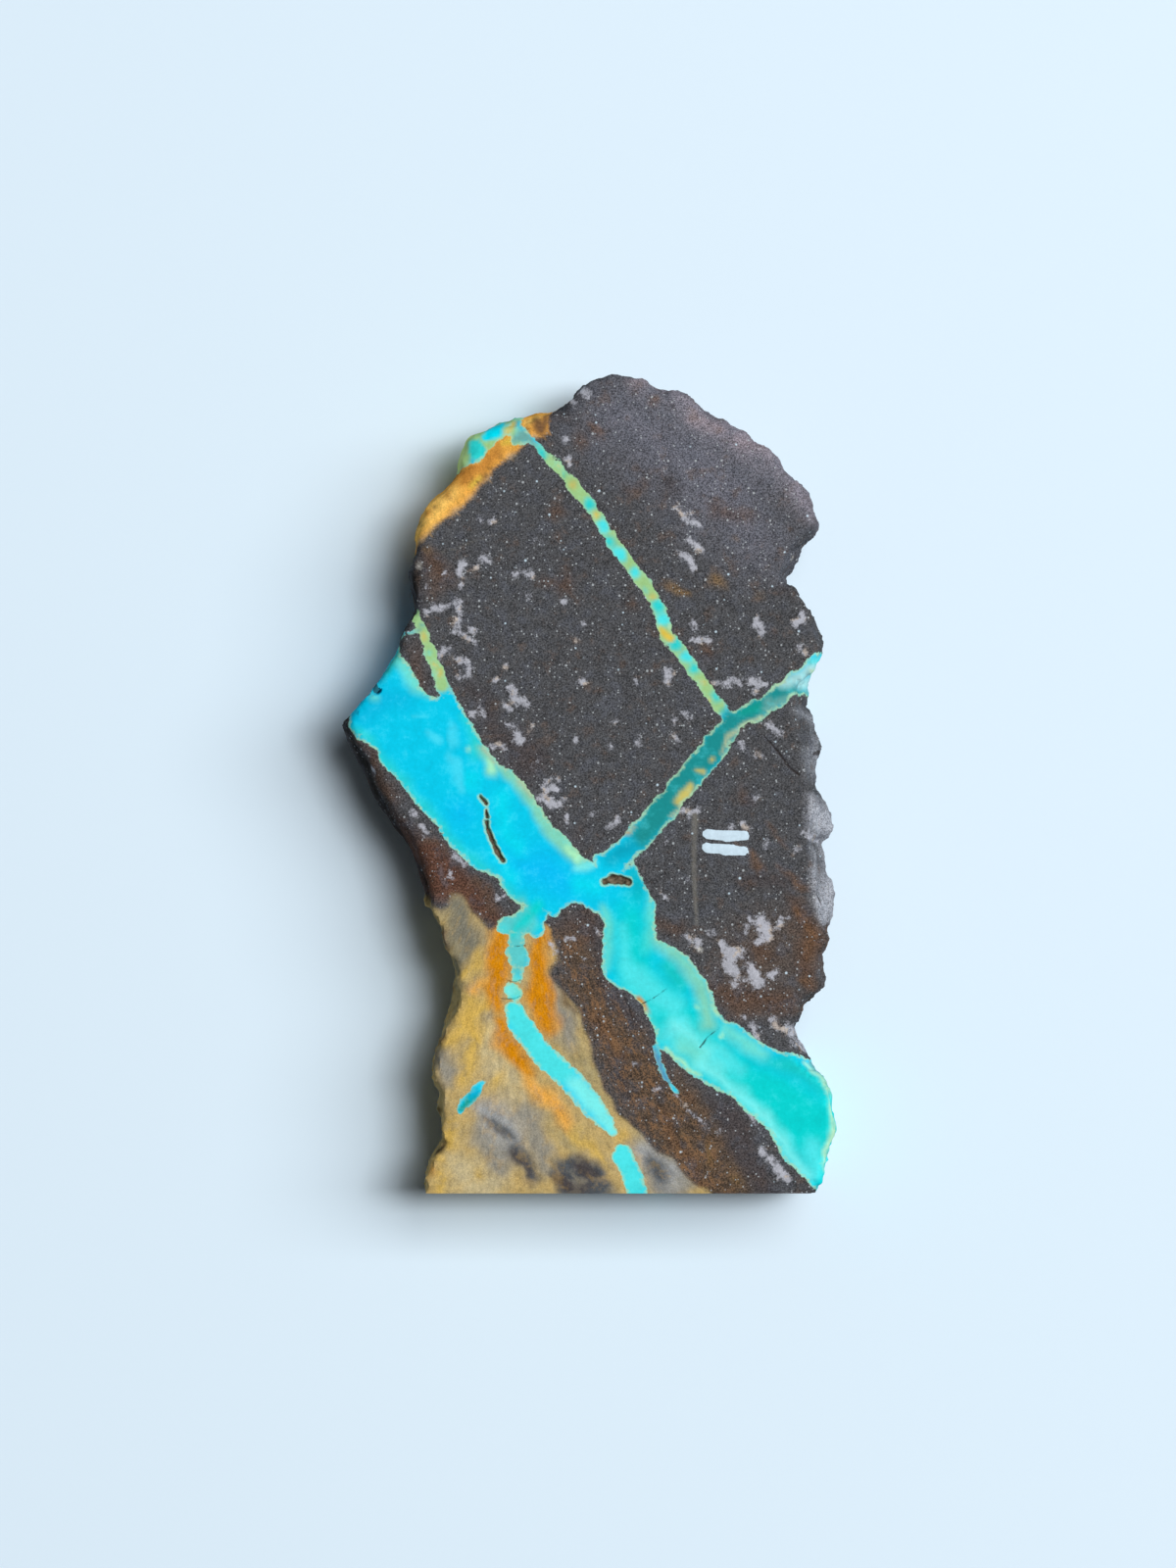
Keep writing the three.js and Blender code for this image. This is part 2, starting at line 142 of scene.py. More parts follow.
# The fibrous ground at the lower left, and the plain brown rock beside it.
GROUND = [
    (-19.0, -13.4), (-15.2, -12.6), (-14.2, -11.3), (-12.9, -11.5), (-12.0, -12.4),
    (-11.4, -13.6), (-10.0, -14.8), (-9.4, -14.4), (-8.6, -14.0), (-4.4, -14.2), (-3.9, -15.6),
    (-3.2, -17.4), (-3.7, -19.2), (-2.8, -21.0), (-1.4, -22.6), (-0.9, -24.0), (-0.4, -25.6),
    (0.4, -27.4), (0.9, -28.6), (1.4, -31.0), (2.6, -32.7), (4.2, -34.6), (5.6, -36.2),
    (8.6, -38.6), (10.6, -40.4), (11.6, -44.0), (-20.0, -44.0),
]

# Open pockets in the main vein, and fine cracks.
POCKETS = [
    [(-11.0, -1.3, 0.1), (-10.4, -2.0, 0.13)], [(-10.4, -2.7, 0.05), (-10.3, -3.4, 0.12)],
    [(-10.35, -3.9, 0.2), (-10.3, -4.5, 0.12), (-9.9, -5.5, 0.2), (-9.6, -6.2, 0.14),
     (-9.3, -6.9, 0.22), (-8.7, -7.8, 0.18)],
    [(1.7, -10.0, 0.26), (2.5, -9.7, 0.44), (3.2, -9.8, 0.42), (4.1, -10.0, 0.32)],
]
CRACKS = [
    [(4.9, -22.9, 0.02), (5.6, -22.4, 0.04), (6.6, -21.9, 0.03), (8.0, -20.9, 0.02)],
    [(11.4, -26.9, 0.06), (11.8, -26.4, 0.09), (12.1, -25.9, 0.03), (13.4, -24.9, 0.01)],
    [(17.6, 5.3, 0.02), (18.6, 4.2, 0.06), (19.6, 3.0, 0.1), (20.6, 1.6, 0.1), (21.6, 0.9, 0.08)],
    [(-8.9, -21.9, 0.02), (-7.6, -21.95, 0.03), (-6.8, -21.6, 0.02)],
    [(-8.3, -20.1, 0.02), (-7.4, -20.2, 0.03), (-6.9, -20.0, 0.02)],
    [(-7.6, -16.6, 0.02), (-6.4, -16.5, 0.03)],
    [(7.7, -6.0, 0.02), (7.9, -8.6, 0.04), (7.6, -11.0, 0.02)],
    [(3.6, -21.6, 0.02), (4.2, -22.8, 0.07), (4.6, -24.4, 0.03)],
    [(23.2, -11.0, 0.03), (23.6, -11.8, 0.08), (24.1, -13.0, 0.03)],
]
HOLES = [[(23.1, 3.1, 0.1), (23.7, 3.2, 0.3)], [(-21.7, 10.2, 0.15), (-21.6, 9.6, 0.35)]]
STROKES = [[(12.2, -5.1, 0.42), (14.2, -5.3, 0.5), (16.0, -5.3, 0.42)],
           [(12.1, -6.5, 0.44), (14.0, -6.7, 0.48), (15.9, -6.8, 0.38)]]
SCRATCHES = [
    [(-15.0, 23.6, 0.03), (-13.2, 24.1, 0.06), (-11.9, 24.7, 0.05), (-9.0, 25.6, 0.02)],
    [(-1.7, 23.8, 0.03), (-0.9, 24.2, 0.05)], [(-3.4, 26.6, 0.02), (-1.6, 27.1, 0.04)],
    [(16.3, -11.2, 0.06), (16.9, -10.8, 0.1)], [(10.9, -3.2, 0.34), (10.9, -4.6, 0.3)],
    [(10.9, -4.0, 0.26), (10.8, -8.0, 0.24), (10.9, -11.0, 0.22), (11.1, -14.4, 0.14)],
]

# Pale crystals in the rock, as chains of round spots.
CRYSTALS = [
    [(-12.8, 22.6, 0.5), (-13.1, 21.6, 0.45)], [(-10.7, 23.1, 0.35), (-10.2, 22.8, 0.3)],
    [(-11.3, 22.0, 0.3)], [(-14.5, 21.5, 0.2)], [(-12.9, 20.3, 0.3)], [(-5.5, 24.9, 0.25)],
    [(-7.6, 21.3, 0.2), (-6.6, 21.7, 0.28), (-5.8, 21.4, 0.25)], [(-4.8, 24.8, 0.2)],
    [(-9.7, 26.9, 0.3)], [(-11.0, 27.0, 0.25)], [(-6.1, 19.3, 0.22)], [(-2.4, 18.6, 0.3)],
    [(-16.6, 17.5, 0.25), (-15.6, 17.9, 0.5), (-14.4, 18.1, 0.3)], [(-16.4, 20.1, 0.15)],
    [(-13.3, 18.6, 0.35), (-13.2, 17.9, 0.38)], [(-13.2, 16.8, 0.42), (-13.7, 15.5, 0.15)],
    [(-11.9, 15.5, 0.4)], [(-12.9, 15.3, 0.3), (-12.2, 14.9, 0.3), (-11.6, 14.6, 0.2)],
    [(-15.2, 13.2, 0.35), (-14.6, 13.7, 0.38), (-14.2, 14.0, 0.15)], [(-13.4, 11.0, 0.22)],
    [(-13.9, 12.9, 0.2), (-13.2, 12.6, 0.32), (-12.4, 12.4, 0.3), (-12.2, 11.7, 0.3)],
    [(-12.5, 11.1, 0.3), (-12.0, 11.2, 0.3)], [(-8.4, 11.8, 0.25)], [(-9.4, 10.6, 0.3)],
    [(-7.8, 9.7, 0.38), (-7.3, 8.5, 0.5), (-6.5, 8.4, 0.38), (-6.1, 8.1, 0.3)],
    [(-8.3, 8.1, 0.32), (-7.9, 7.6, 0.28)], [(-0.8, 10.4, 0.38), (-0.3, 10.3, 0.38)],
    [(-1.1, 14.7, 0.32)], [(-0.4, 16.3, 0.22)], [(-12.0, 7.3, 0.3), (-11.3, 7.3, 0.22)],
    [(-10.9, 7.6, 0.38), (-10.6, 7.1, 0.28)], [(-8.4, 6.2, 0.15), (-7.6, 5.7, 0.2)],
    [(-7.2, 5.1, 0.38), (-7.2, 4.4, 0.48), (-6.7, 4.3, 0.32)], [(-5.6, 5.9, 0.1), (-6.2, 5.3, 0.15)],
    [(-9.9, 3.8, 0.2), (-9.2, 4.1, 0.35), (-8.5, 3.7, 0.22)], [(-5.4, 2.0, 0.22)],
    [(-4.0, 0.7, 0.15), (-4.3, -0.6, 0.32), (-3.3, -0.5, 0.35)], [(-3.1, 0.5, 0.16)],
    [(-4.8, -1.6, 0.3), (-4.2, -1.6, 0.48), (-3.6, -2.1, 0.52), (-2.8, -2.0, 0.3), (-2.3, -1.4, 0.15)],
    [(-2.2, -3.2, 0.2), (-2.2, -3.8, 0.14)], [(-1.2, 4.5, 0.25)], [(0.6, -3.3, 0.32), (1.0, -2.9, 0.15)],
    [(3.0, -3.3, 0.2), (2.9, -4.0, 0.32), (2.3, -4.5, 0.32)], [(9.6, -2.8, 0.28), (10.4, -3.1, 0.35)],
    [(10.4, -3.0, 0.3), (11.2, -2.7, 0.28)], [(14.6, -4.3, 0.28)], [(15.8, -4.1, 0.32), (16.4, -4.6, 0.2)],
    [(8.0, -5.8, 0.15)], [(10.0, -9.7, 0.25)], [(7.6, -11.3, 0.2), (8.0, -11.7, 0.2)],
    [(9.9, -15.4, 0.18), (10.6, -16.0, 0.38), (11.3, -16.2, 0.32)], [(12.4, -15.4, 0.3), (12.9, -15.0, 0.15)],
    [(13.5, -16.2, 0.28), (14.0, -16.8, 0.5), (14.7, -17.4, 0.9), (15.5, -17.3, 0.55)],
    [(14.3, -18.4, 0.65), (14.7, -19.2, 0.6), (16.0, -20.0, 0.2)], [(15.0, -20.5, 0.4)],
    [(16.9, -18.2, 0.16), (16.6, -18.7, 0.3), (17.0, -19.5, 0.7), (17.3, -20.2, 0.7)],
    [(18.2, -19.5, 0.35), (19.3, -19.3, 0.4)], [(16.5, -13.8, 0.22), (16.2, -15.0, 0.16)],
    [(17.6, -13.9, 0.6), (18.0, -14.7, 0.75), (18.3, -15.6, 0.6), (17.2, -16.3, 0.35)],
    [(19.4, -14.4, 0.38), (19.9, -13.9, 0.22), (20.4, -13.7, 0.26)], [(18.2, -6.0, 0.28), (18.0, -6.3, 0.28)],
    [(22.2, -5.0, 0.32), (22.4, -5.3, 0.32)], [(21.0, -6.9, 0.26), (21.5, -6.7, 0.16)], [(20.0, -2.8, 0.24)],
    [(8.1, 11.6, 0.38), (8.1, 11.0, 0.38), (8.6, 11.2, 0.26)], [(8.1, 10.5, 0.26)],
    [(4.8, 10.7, 0.16), (5.0, 10.3, 0.16)], [(10.8, 16.2, 0.32), (10.9, 15.8, 0.26)],
    [(10.6, 14.7, 0.16), (11.3, 14.8, 0.26), (11.6, 14.5, 0.32), (12.2, 14.6, 0.26)],
    [(17.2, 16.9, 0.2), (17.2, 16.2, 0.42), (17.7, 15.8, 0.38), (17.7, 15.3, 0.3)],
    [(21.8, 17.4, 0.32), (21.8, 16.8, 0.38), (21.1, 16.4, 0.42), (21.0, 15.9, 0.22)],
    [(21.6, 13.7, 0.32), (22.2, 13.4, 0.32)], [(12.9, 10.3, 0.22), (13.7, 10.4, 0.32), (14.6, 10.1, 0.32)],
    [(14.8, 10.9, 0.22), (15.5, 10.3, 0.22)], [(17.0, 9.6, 0.26)],
    [(16.6, 10.5, 0.42), (17.2, 10.2, 0.52), (18.0, 10.2, 0.32)], [(9.7, 7.1, 0.22), (10.2, 6.8, 0.26)],
    [(9.0, 6.7, 0.16), (8.8, 6.3, 0.24)], [(2.8, 6.3, 0.26)], [(5.3, 5.0, 0.16), (5.2, 4.3, 0.26)],
    [(8.7, 4.8, 0.26), (9.0, 4.4, 0.2)], [(2.4, 3.8, 0.22)], [(18.1, 6.3, 0.26), (19.7, 5.1, 0.3)],
    [(15.6, 4.1, 0.22), (15.8, 3.7, 0.16)], [(17.1, 2.9, 0.26), (17.7, 2.8, 0.22)], [(17.2, -1.4, 0.16)],
    [(8.9, 28.4, 0.26), (9.3, 27.8, 0.1), (10.4, 26.8, 0.38), (11.2, 26.6, 0.38)], [(10.4, 27.6, 0.22)],
    [(10.2, 25.1, 0.26), (10.6, 24.4, 0.32), (11.2, 24.3, 0.38), (11.6, 23.7, 0.16)],
    [(9.4, 23.4, 0.32), (10.0, 23.1, 0.38), (10.6, 22.7, 0.32), (10.5, 22.1, 0.38)],
    [(-0.6, 40.1, 0.5), (0.1, 39.8, 0.3)], [(-1.9, 39.2, 0.22), (-1.4, 38.8, 0.32)],
    [(-2.3, 35.3, 0.16), (-2.1, 34.8, 0.22)], [(-2.5, 33.1, 0.16), (-1.9, 33.2, 0.32), (-1.8, 32.6, 0.22)],
    [(18.8, -24.0, 0.32), (19.4, -24.9, 0.32), (20.4, -24.9, 0.38), (20.9, -25.9, 0.38), (21.6, -26.8, 0.4)],
    [(16.6, -24.5, 0.3), (17.3, -25.6, 0.3)], [(15.8, -23.8, 0.22)], [(16.3, -33.6, 0.22), (16.9, -34.2, 0.3)],
    [(17.6, -37.5, 0.35), (18.5, -38.3, 0.4), (19.4, -39.3, 0.45), (20.3, -40.3, 0.45)],
    [(13.4, -35.2, 0.1), (13.3, -35.8, 0.14)], [(6.6, -31.4, 0.1), (7.4, -31.0, 0.08)],
    [(-17.8, -2.9, 0.32), (-17.5, -3.3, 0.22)], [(-17.0, -4.3, 0.22), (-16.6, -4.9, 0.32)],
    [(-13.7, -7.3, 0.32), (-13.3, -7.8, 0.26), (-12.6, -8.2, 0.2)], [(-14.1, -9.1, 0.22), (-14.0, -9.5, 0.26)],
    [(-9.1, -11.6, 0.26), (-8.7, -11.3, 0.16)], [(-3.8, -16.2, 0.16), (-3.3, -17.2, 0.24)],
    [(-2.2, -15.8, 0.13), (-1.6, -15.7, 0.13)], [(1.0, -15.1, 0.26)], [(-0.5, -17.8, 0.2)],
    [(-22.2, 1.7, 0.26), (-22.0, 1.3, 0.16)], [(2.9, -24.4, 0.12)], [(4.8, -28.6, 0.1)],
    [(9.0, -31.8, 0.05), (10.6, -33.6, 0.08), (12.2, -35.0, 0.1)],
]

# Colours as they look under the stage's light: red, green and blue up to 255.
PALETTE = {
    "turquoise": (0, 206, 240), "azure": (0, 184, 226), "deep blue": (0, 194, 250),
    "bright": (0, 224, 246), "sea": (44, 214, 212), "mint": (112, 226, 212), "jade": (52, 186, 168),
    "celadon": (128, 214, 188), "butter": (176, 246, 196), "sand": (176, 190, 154),
    "sky": (60, 218, 246), "ice": (124, 244, 242), "lagoon": (0, 214, 212), "cyan": (76, 231, 235),
    "sea green": (18, 202, 202), "dark teal": (0, 184, 202), "root": (0, 166, 194), "teal": (26, 144, 146),
    "verdigris": (12, 158, 146), "grey teal": (110, 172, 166), "haze": (166, 218, 220),
    "maize": (206, 194, 106), "cream": (186, 232, 192), "grey green painted shade": (128, 156, 146), "lime": (160, 206, 138), "lime with painted light": (218, 244, 156), "bead": (92, 204, 204), "ash": (158, 160, 160), "warm rock": (88, 78, 72),
    "yellow": (226, 196, 76), "gold": (210, 174, 84), "orange": (210, 134, 0), "amber": (232, 168, 74),
    "honey": (255, 204, 106), "dark orange": (192, 130, 56), "rust": (112, 82, 58), "tan": (196, 180, 138), "straw": (166, 152, 110),
    "rock": (78, 79, 82), "blue rock": (108, 109, 120), "lilac with painted light": (136, 131, 142), "rose": (142, 130, 136),
    "grey": (164, 167, 175), "dim grey": (138, 141, 148), "brown": (92, 72, 60), "chocolate": (94, 66, 54), "umber": (88, 74, 62),
    # Near black: real dark specks in the orange band, and painted shade on the left side and at the lower left corner.
    "dark specks and painted shade": (38, 34, 32), "charcoal": (74, 69, 70), "ochre brown": (128, 102, 66), "lichen": (122, 120, 106),
    "slate": (80, 86, 92), "ochre": (188, 164, 110), "stone": (146, 142, 130), "white": (226, 224, 216),
    "twig": (84, 150, 188),
}

# Soft strokes of colour, laid one over the other: colour, softness, chains of round spots.
VEIN_TINTS = [
    ("azure", 2.2, [[(-23.0, 7.0, 0.8), (-20.5, 8.8, 0.9), (-19.0, 8.6, 0.6)]]),
    ("deep blue", 2.4, [[(-9.0, -8.5, 0.6), (-4.5, -8.6, 1.8), (-2.4, -10.0, 1.3)], [(-13.0, -3.0, 0.6)]]),
    ("bright", 1.2, [[(-8.8, -1.5, 0.8), (-8.6, -4.5, 0.5), (-7.0, -6.5, 0.5)], [(-12.0, 0.3, 0.8)],
                     [(-0.8, -10.2, 0.8), (0.8, -10.6, 0.6)], [(-9.5, -7.0, 0.4), (-7.8, -9.5, 0.6)]]),
    ("sea", 0.9, [[(-24.3, 5.6, 0.3), (-22.2, 4.3, 0.3), (-20.8, 2.2, 0.4), (-18.8, 0.4, 0.3),
                   (-17.6, -1.4, 0.3), (-15.6, -3.4, 0.3), (-14.3, -5.4, 0.3), (-12.3, -7.2, 0.3),
                   (-10.3, -8.6, 0.3), (-8.3, -10.6, 0.3), (-6.9, -11.9, 0.3)],
                  [(-12.6, 6.8, 0.2), (-11.6, 5.0, 0.4), (-11.3, 3.4, 0.7)]]),
    ("mint", 0.7, [[(-19.3, 13.0, 0.5), (-18.2, 11.2, 0.5), (-17.7, 10.2, 0.7), (-16.2, 9.0, 0.2)],
                   [(-22.0, 8.9, 0.2), (-21.5, 8.8, 0.1)]]),
    ("jade", 0.8, [[(-20.8, 11.4, 0.2), (-19.7, 13.4, 0.4)]]),
    ("celadon", 0.6, [[(-10.9, 3.4, 0.3), (-10.0, 2.2, 0.6), (-9.9, 1.2, 0.6)],
                      [(-8.9, 1.5, 0.5), (-7.2, 0.6, 0.7), (-6.2, -0.7, 0.75), (-5.4, -2.2, 0.75),
                       (-4.5, -3.6, 0.85), (-3.4, -4.8, 0.9), (-2.2, -6.1, 1.0), (-0.8, -7.6, 0.8)]]),
    ("butter", 0.45, [[(-10.1, 2.2, 0.25), (-9.9, 1.3, 0.3)], [(-1.9, -6.6, 0.25), (-1.2, -7.4, 0.5)],
                      [(-12.2, 3.6, 0.1)]]),
    ("sand", 0.4, [[(-10.6, 3.5, 0.15), (-9.6, 2.2, 0.1)], [(-6.9, 0.35, 0.25), (-5.6, -1.3, 0.2)]]),
    ("sky", 0.35, [[(-14.0, 6.4, 0.15), (-13.8, 5.4, 0.45), (-13.6, 4.3, 0.6), (-13.8, 3.6, 0.2)],
                   [(-14.2, 2.9, 0.3), (-13.6, 2.3, 0.6), (-13.4, 1.2, 0.5), (-13.0, -0.6, 0.4)],
                   [(-17.7, 6.8, 0.1), (-16.8, 7.0, 0.15)], [(-16.2, 5.2, 0.2), (-15.2, 4.3, 0.35)]]),
    ("dark teal", 1.0, [[(4.9, -9.2, 0.7), (5.0, -11.2, 0.9)]]),
    ("teal", 0.9, [[(5.4, -5.4, 1.2), (7.2, -3.0, 1.8), (9.4, -0.2, 1.8), (12.5, 3.6, 1.8),
                    (15.0, 6.4, 1.4), (18.6, 8.4, 1.3), (20.6, 9.8, 1.2)]]),
    ("root", 1.0, [[(2.4, -7.6, 0.6), (4.2, -6.6, 0.9)]]),
    ("ice", 0.5, [[(-1.2, -8.7, 0.3), (-0.2, -8.4, 0.4), (0.6, -8.2, 0.3)]]),
    ("mint", 0.7, [[(6.4, -11.6, 0.1), (6.5, -13.4, 0.5), (6.4, -15.0, 0.6), (5.9, -16.6, 0.5)],
                   [(1.6, -12.9, 0.3), (2.1, -14.4, 0.6), (2.0, -16.4, 0.5), (1.9, -18.6, 0.3)],
                   [(5.6, -22.8, 0.4), (6.4, -24.0, 0.5), (7.4, -25.6, 0.3)]]),
    ("lagoon", 2.5, [[(4.4, -14.0, 1.5), (5.0, -20.0, 2.0), (9.0, -24.0, 2.5), (14.0, -29.0, 2.5), (20.0, -34.0, 3.5), (25.0, -37.0, 3.5)]]),
    ("lagoon", 2.5, [[(25.5, -30.5, 2.0), (26.0, -40.0, 3.0)]]),
    ("cyan", 1.0, [[(3.6, -14.6, 0.2), (3.6, -17.5, 0.5), (4.6, -19.6, 1.2), (6.8, -21.4, 1.2),
                    (8.6, -22.6, 1.1)], [(9.2, -24.6, 0.9), (8.2, -25.8, 0.8)]]),
    ("ice", 1.4, [[(9.0, -24.8, 0.6), (13.4, -28.2, 0.8)]]),
    ("sea green", 0.8, [[(8.2, -18.6, 0.8), (9.4, -20.2, 0.9)]]),
    ("celadon", 0.8, [[(7.2, -16.3, 0.5), (8.8, -17.2, 0.6), (10.4, -18.8, 0.6), (11.4, -20.6, 0.6),
                       (12.0, -22.6, 0.8), (12.2, -24.4, 0.7)]]),
    ("mint", 0.9, [[(9.6, -26.8, 0.8), (11.2, -27.8, 0.8)], [(9.8, -17.8, 0.2)],
                   [(14.0, -25.0, 0.4), (16.2, -26.6, 0.6), (17.8, -27.6, 0.5)]]),
    ("ice", 0.9, [[(11.6, -28.6, 0.5), (13.2, -29.8, 0.4), (15.4, -31.6, 0.5), (17.4, -33.4, 0.6),
                   (19.2, -35.6, 0.6), (20.6, -37.8, 0.5), (22.4, -39.9, 0.5)]]),
    ("cyan", 0.9, [[(13.5, -27.8, 0.7), (15.5, -29.4, 0.5)], [(23.0, -37.2, 1.0), (23.2, -39.4, 0.5)]]),
    ("sea green", 0.9, [[(18.8, -28.4, 0.5), (20.6, -28.8, 0.9), (22.6, -29.8, 0.8), (24.0, -31.0, 0.4)]]),
    ("lagoon", 1.2, [[(18.0, -30.4, 0.6), (21.0, -32.4, 1.6), (23.2, -34.6, 1.0)]]),
    ("butter", 0.35, [[(13.0, -22.6, 0.15), (13.4, -23.6, 0.2)], [(13.7, -25.6, 0.25)],
                      [(8.0, -27.1, 0.15), (9.6, -28.5, 0.2), (11.2, -29.6, 0.2)], [(11.0, -22.8, 0.12)]]),
    ("orange", 0.35, [[(5.0, -22.0, 0.3), (5.8, -23.2, 0.3)], [(2.9, -5.2, 0.1), (4.0, -5.0, 0.15)]]),
    ("cream", 0.3, [[(22.0, -28.3, 0.12), (23.2, -29.6, 0.15), (24.5, -31.2, 0.15), (24.9, -33.2, 0.15),
                     (25.0, -35.0, 0.3), (24.3, -37.4, 0.15), (24.2, -39.3, 0.15)]]),
    # Painted shade: grey green on the slope at the right end of the vein, where the side falls away.
    ("grey green painted shade", 0.3, [[(22.6, -28.2, 0.2), (24.0, -29.8, 0.3), (25.3, -31.4, 0.2)],
                   [(25.7, -35.8, 0.2), (24.9, -37.2, 0.2), (24.7, -39.8, 0.2)]]),
    ("verdigris", 0.5, [[(15.8, 7.4, 0.5), (17.4, 7.9, 0.5)]]),
    ("grey teal", 0.5, [[(18.2, 7.6, 0.3), (20.4, 8.6, 0.3), (21.8, 9.3, 0.3)], [(18.4, 8.4, 0.3)]]),
    ("haze", 0.5, [[(19.8, 10.0, 0.3), (21.4, 10.8, 0.6), (23.4, 12.4, 0.6)]]),
    ("cyan", 0.5, [[(22.8, 12.6, 0.2), (24.8, 13.8, 0.3)]]),
    ("maize", 0.35, [[(9.2, -2.0, 0.35), (9.8, -1.1, 0.55), (10.4, -0.4, 0.35)],
                     [(11.1, 1.4, 0.15), (11.9, 1.2, 0.3)], [(12.6, 2.5, 0.22)], [(22.6, 11.5, 0.1)]]),
    ("sand", 0.25, [[(8.6, -3.4, 0.15), (9.6, -2.4, 0.1)], [(4.2, -4.9, 0.12), (4.8, -4.2, 0.1)],
                    [(13.4, 3.1, 0.1), (14.4, 4.7, 0.2), (15.6, 5.7, 0.2), (17.6, 6.8, 0.2)],
                    [(17.6, 9.2, 0.1), (18.4, 9.7, 0.1), (20.2, 10.5, 0.15)]]),
    ("lime", 0.3, [[(-5.2, 34.2, 0.5), (-4.6, 33.6, 0.8), (-2.0, 31.0, 1.0), (0.4, 28.2, 1.0),
                    (4.0, 22.7, 1.0), (6.9, 18.7, 1.0), (8.0, 15.2, 1.1), (13.2, 8.2, 1.0)],
                   [(-18.2, 19.0, 0.8), (-17.0, 16.0, 0.8), (-14.9, 10.3, 0.8)]]),
    ("jade", 0.3, [[(-4.4, 33.3, 0.15)], [(-2.0, 32.0, 0.1), (-2.5, 31.4, 0.1)], [(7.2, 19.6, 0.1)],
                   [(13.8, 7.6, 0.2)]]),
    ("grey teal", 0.3, [[(-6.0, 35.4, 0.3), (-5.4, 34.4, 0.2)], [(-17.0, 16.1, 0.25)],
                        [(-17.3, 15.6, 0.2), (-19.6, 15.1, 0.3)]]),
    ("celadon", 0.3, [[(0.0, 28.6, 0.3)], [(1.6, 27.1, 0.3)], [(6.8, 18.3, 0.35)], [(9.0, 14.0, 0.35)],
                      [(9.8, 12.9, 0.25)], [(10.8, 11.6, 0.25)], [(13.2, 9.1, 0.25)], [(-16.3, 13.4, 0.25)],
                      [(5.9, 19.8, 0.25)], [(8.4, 14.6, 0.2)]]),
    ("sea", 0.5, [[(-4.9, 33.8, 0.7)], [(0.2, 28.4, 0.6)], [(2.2, 24.6, 0.6)], [(7.1, 18.2, 0.7)],
                  [(8.8, 14.4, 0.7)], [(10.8, 11.8, 0.6)], [(13.2, 9.0, 0.5)]]),
    ("cyan", 0.4, [[(1.4, 26.1, 0.7)], [(3.1, 23.4, 0.8)], [(4.8, 21.5, 0.6)], [(7.6, 16.9, 0.7)],
                   [(10.0, 13.0, 0.6)]]),
    ("maize", 0.4, [[(-1.6, 30.6, 0.3)], [(0.8, 27.4, 0.25)], [(6.5, 19.2, 0.3)], [(11.8, 10.4, 0.2)],
                    [(-16.8, 15.0, 0.3)], [(-15.2, 11.4, 0.3)]]),
    ("cream", 0.25, [[(8.3, 16.2, 0.2)], [(8.4, 15.8, 0.1)]]),
    ("yellow", 0.3, [[(7.6, 15.6, 0.35), (8.4, 15.0, 0.35)], [(-2.9, 32.4, 0.12)], [(0.9, 27.4, 0.1)],
                      [(7.4, 16.0, 0.1)], [(-15.7, 12.2, 0.15)], [(12.5, 8.7, 0.12)]]),
    ("bead", 0.5, [[(-7.6, -14.0, 2.4), (-7.8, -18.0, 1.6)]]),
    ("mint", 0.5, [[(-7.7, -21.0, 1.4)]]),
    ("lagoon", 0.7, [[(-5.4, -12.8, 0.7), (-7.2, -14.6, 0.4), (-7.6, -15.4, 0.2)], [(-5.2, -14.6, 0.2)]]),
    ("cyan", 0.7, [[(-7.6, -23.0, 1.4), (-5.0, -27.2, 1.4), (-2.6, -29.4, 1.4)],
                   [(3.2, -37.2, 1.2), (4.6, -41.0, 1.4)], [(-8.6, -14.6, 0.3)]]),
    ("ice", 0.7, [[(-1.0, -30.8, 1.0), (0.6, -32.6, 1.0), (2.4, -35.2, 0.8)], [(-7.9, -21.0, 0.4)]]),
    ("lime", 0.5, [[(-13.9, 31.4, 1.6), (-13.4, 33.4, 1.6), (-12.6, 35.6, 1.6), (-10.6, 37.4, 1.2),
                    (-7.6, 38.0, 1.0)], [(-9.0, 34.2, 2.6)]]),
    ("maize", 0.25, [[(-9.2, 36.0, 0.2), (-8.4, 35.8, 0.35), (-7.8, 36.8, 0.3)], [(-13.0, 32.4, 0.2)],
                    [(-13.6, 33.8, 0.4)], [(-12.4, 36.0, 0.4)], [(-10.4, 34.0, 0.2)]]),
    ("grey teal", 0.4, [[(-7.6, 35.0, 0.4), (-6.6, 35.6, 0.6)]]),
    ("sea", 0.2, [[(-11.9, 34.6, 0.5), (-11.4, 34.0, 1.0), (-11.0, 33.2, 0.4)]]),
    ("sea", 0.25, [[(-11.6, 37.0, 0.2), (-9.4, 38.0, 0.4), (-7.4, 37.8, 0.3)]]),
    # Painted light: lime made paler on the cap's left slope, which faces away from the lamps.
    ("lime with painted light", 0.6, [[(-14.6, 31.4, 1.3), (-14.0, 33.8, 1.2), (-13.2, 35.8, 0.9)]]),
    ("bright", 0.25, [[(-10.3, 35.4, 0.5), (-9.7, 36.0, 1.0), (-9.3, 36.6, 0.6)]]),
    ("verdigris", 0.3, [[(-12.9, -33.1, 0.3), (-11.6, -31.6, 0.5)]]),
    ("azure", 0.3, [[(-12.0, -32.0, 0.15), (-11.5, -31.4, 0.3)]]),
    ("twig", 0.5, [[(6.7, -27.4, 0.5), (8.0, -30.2, 0.5)]]),
]
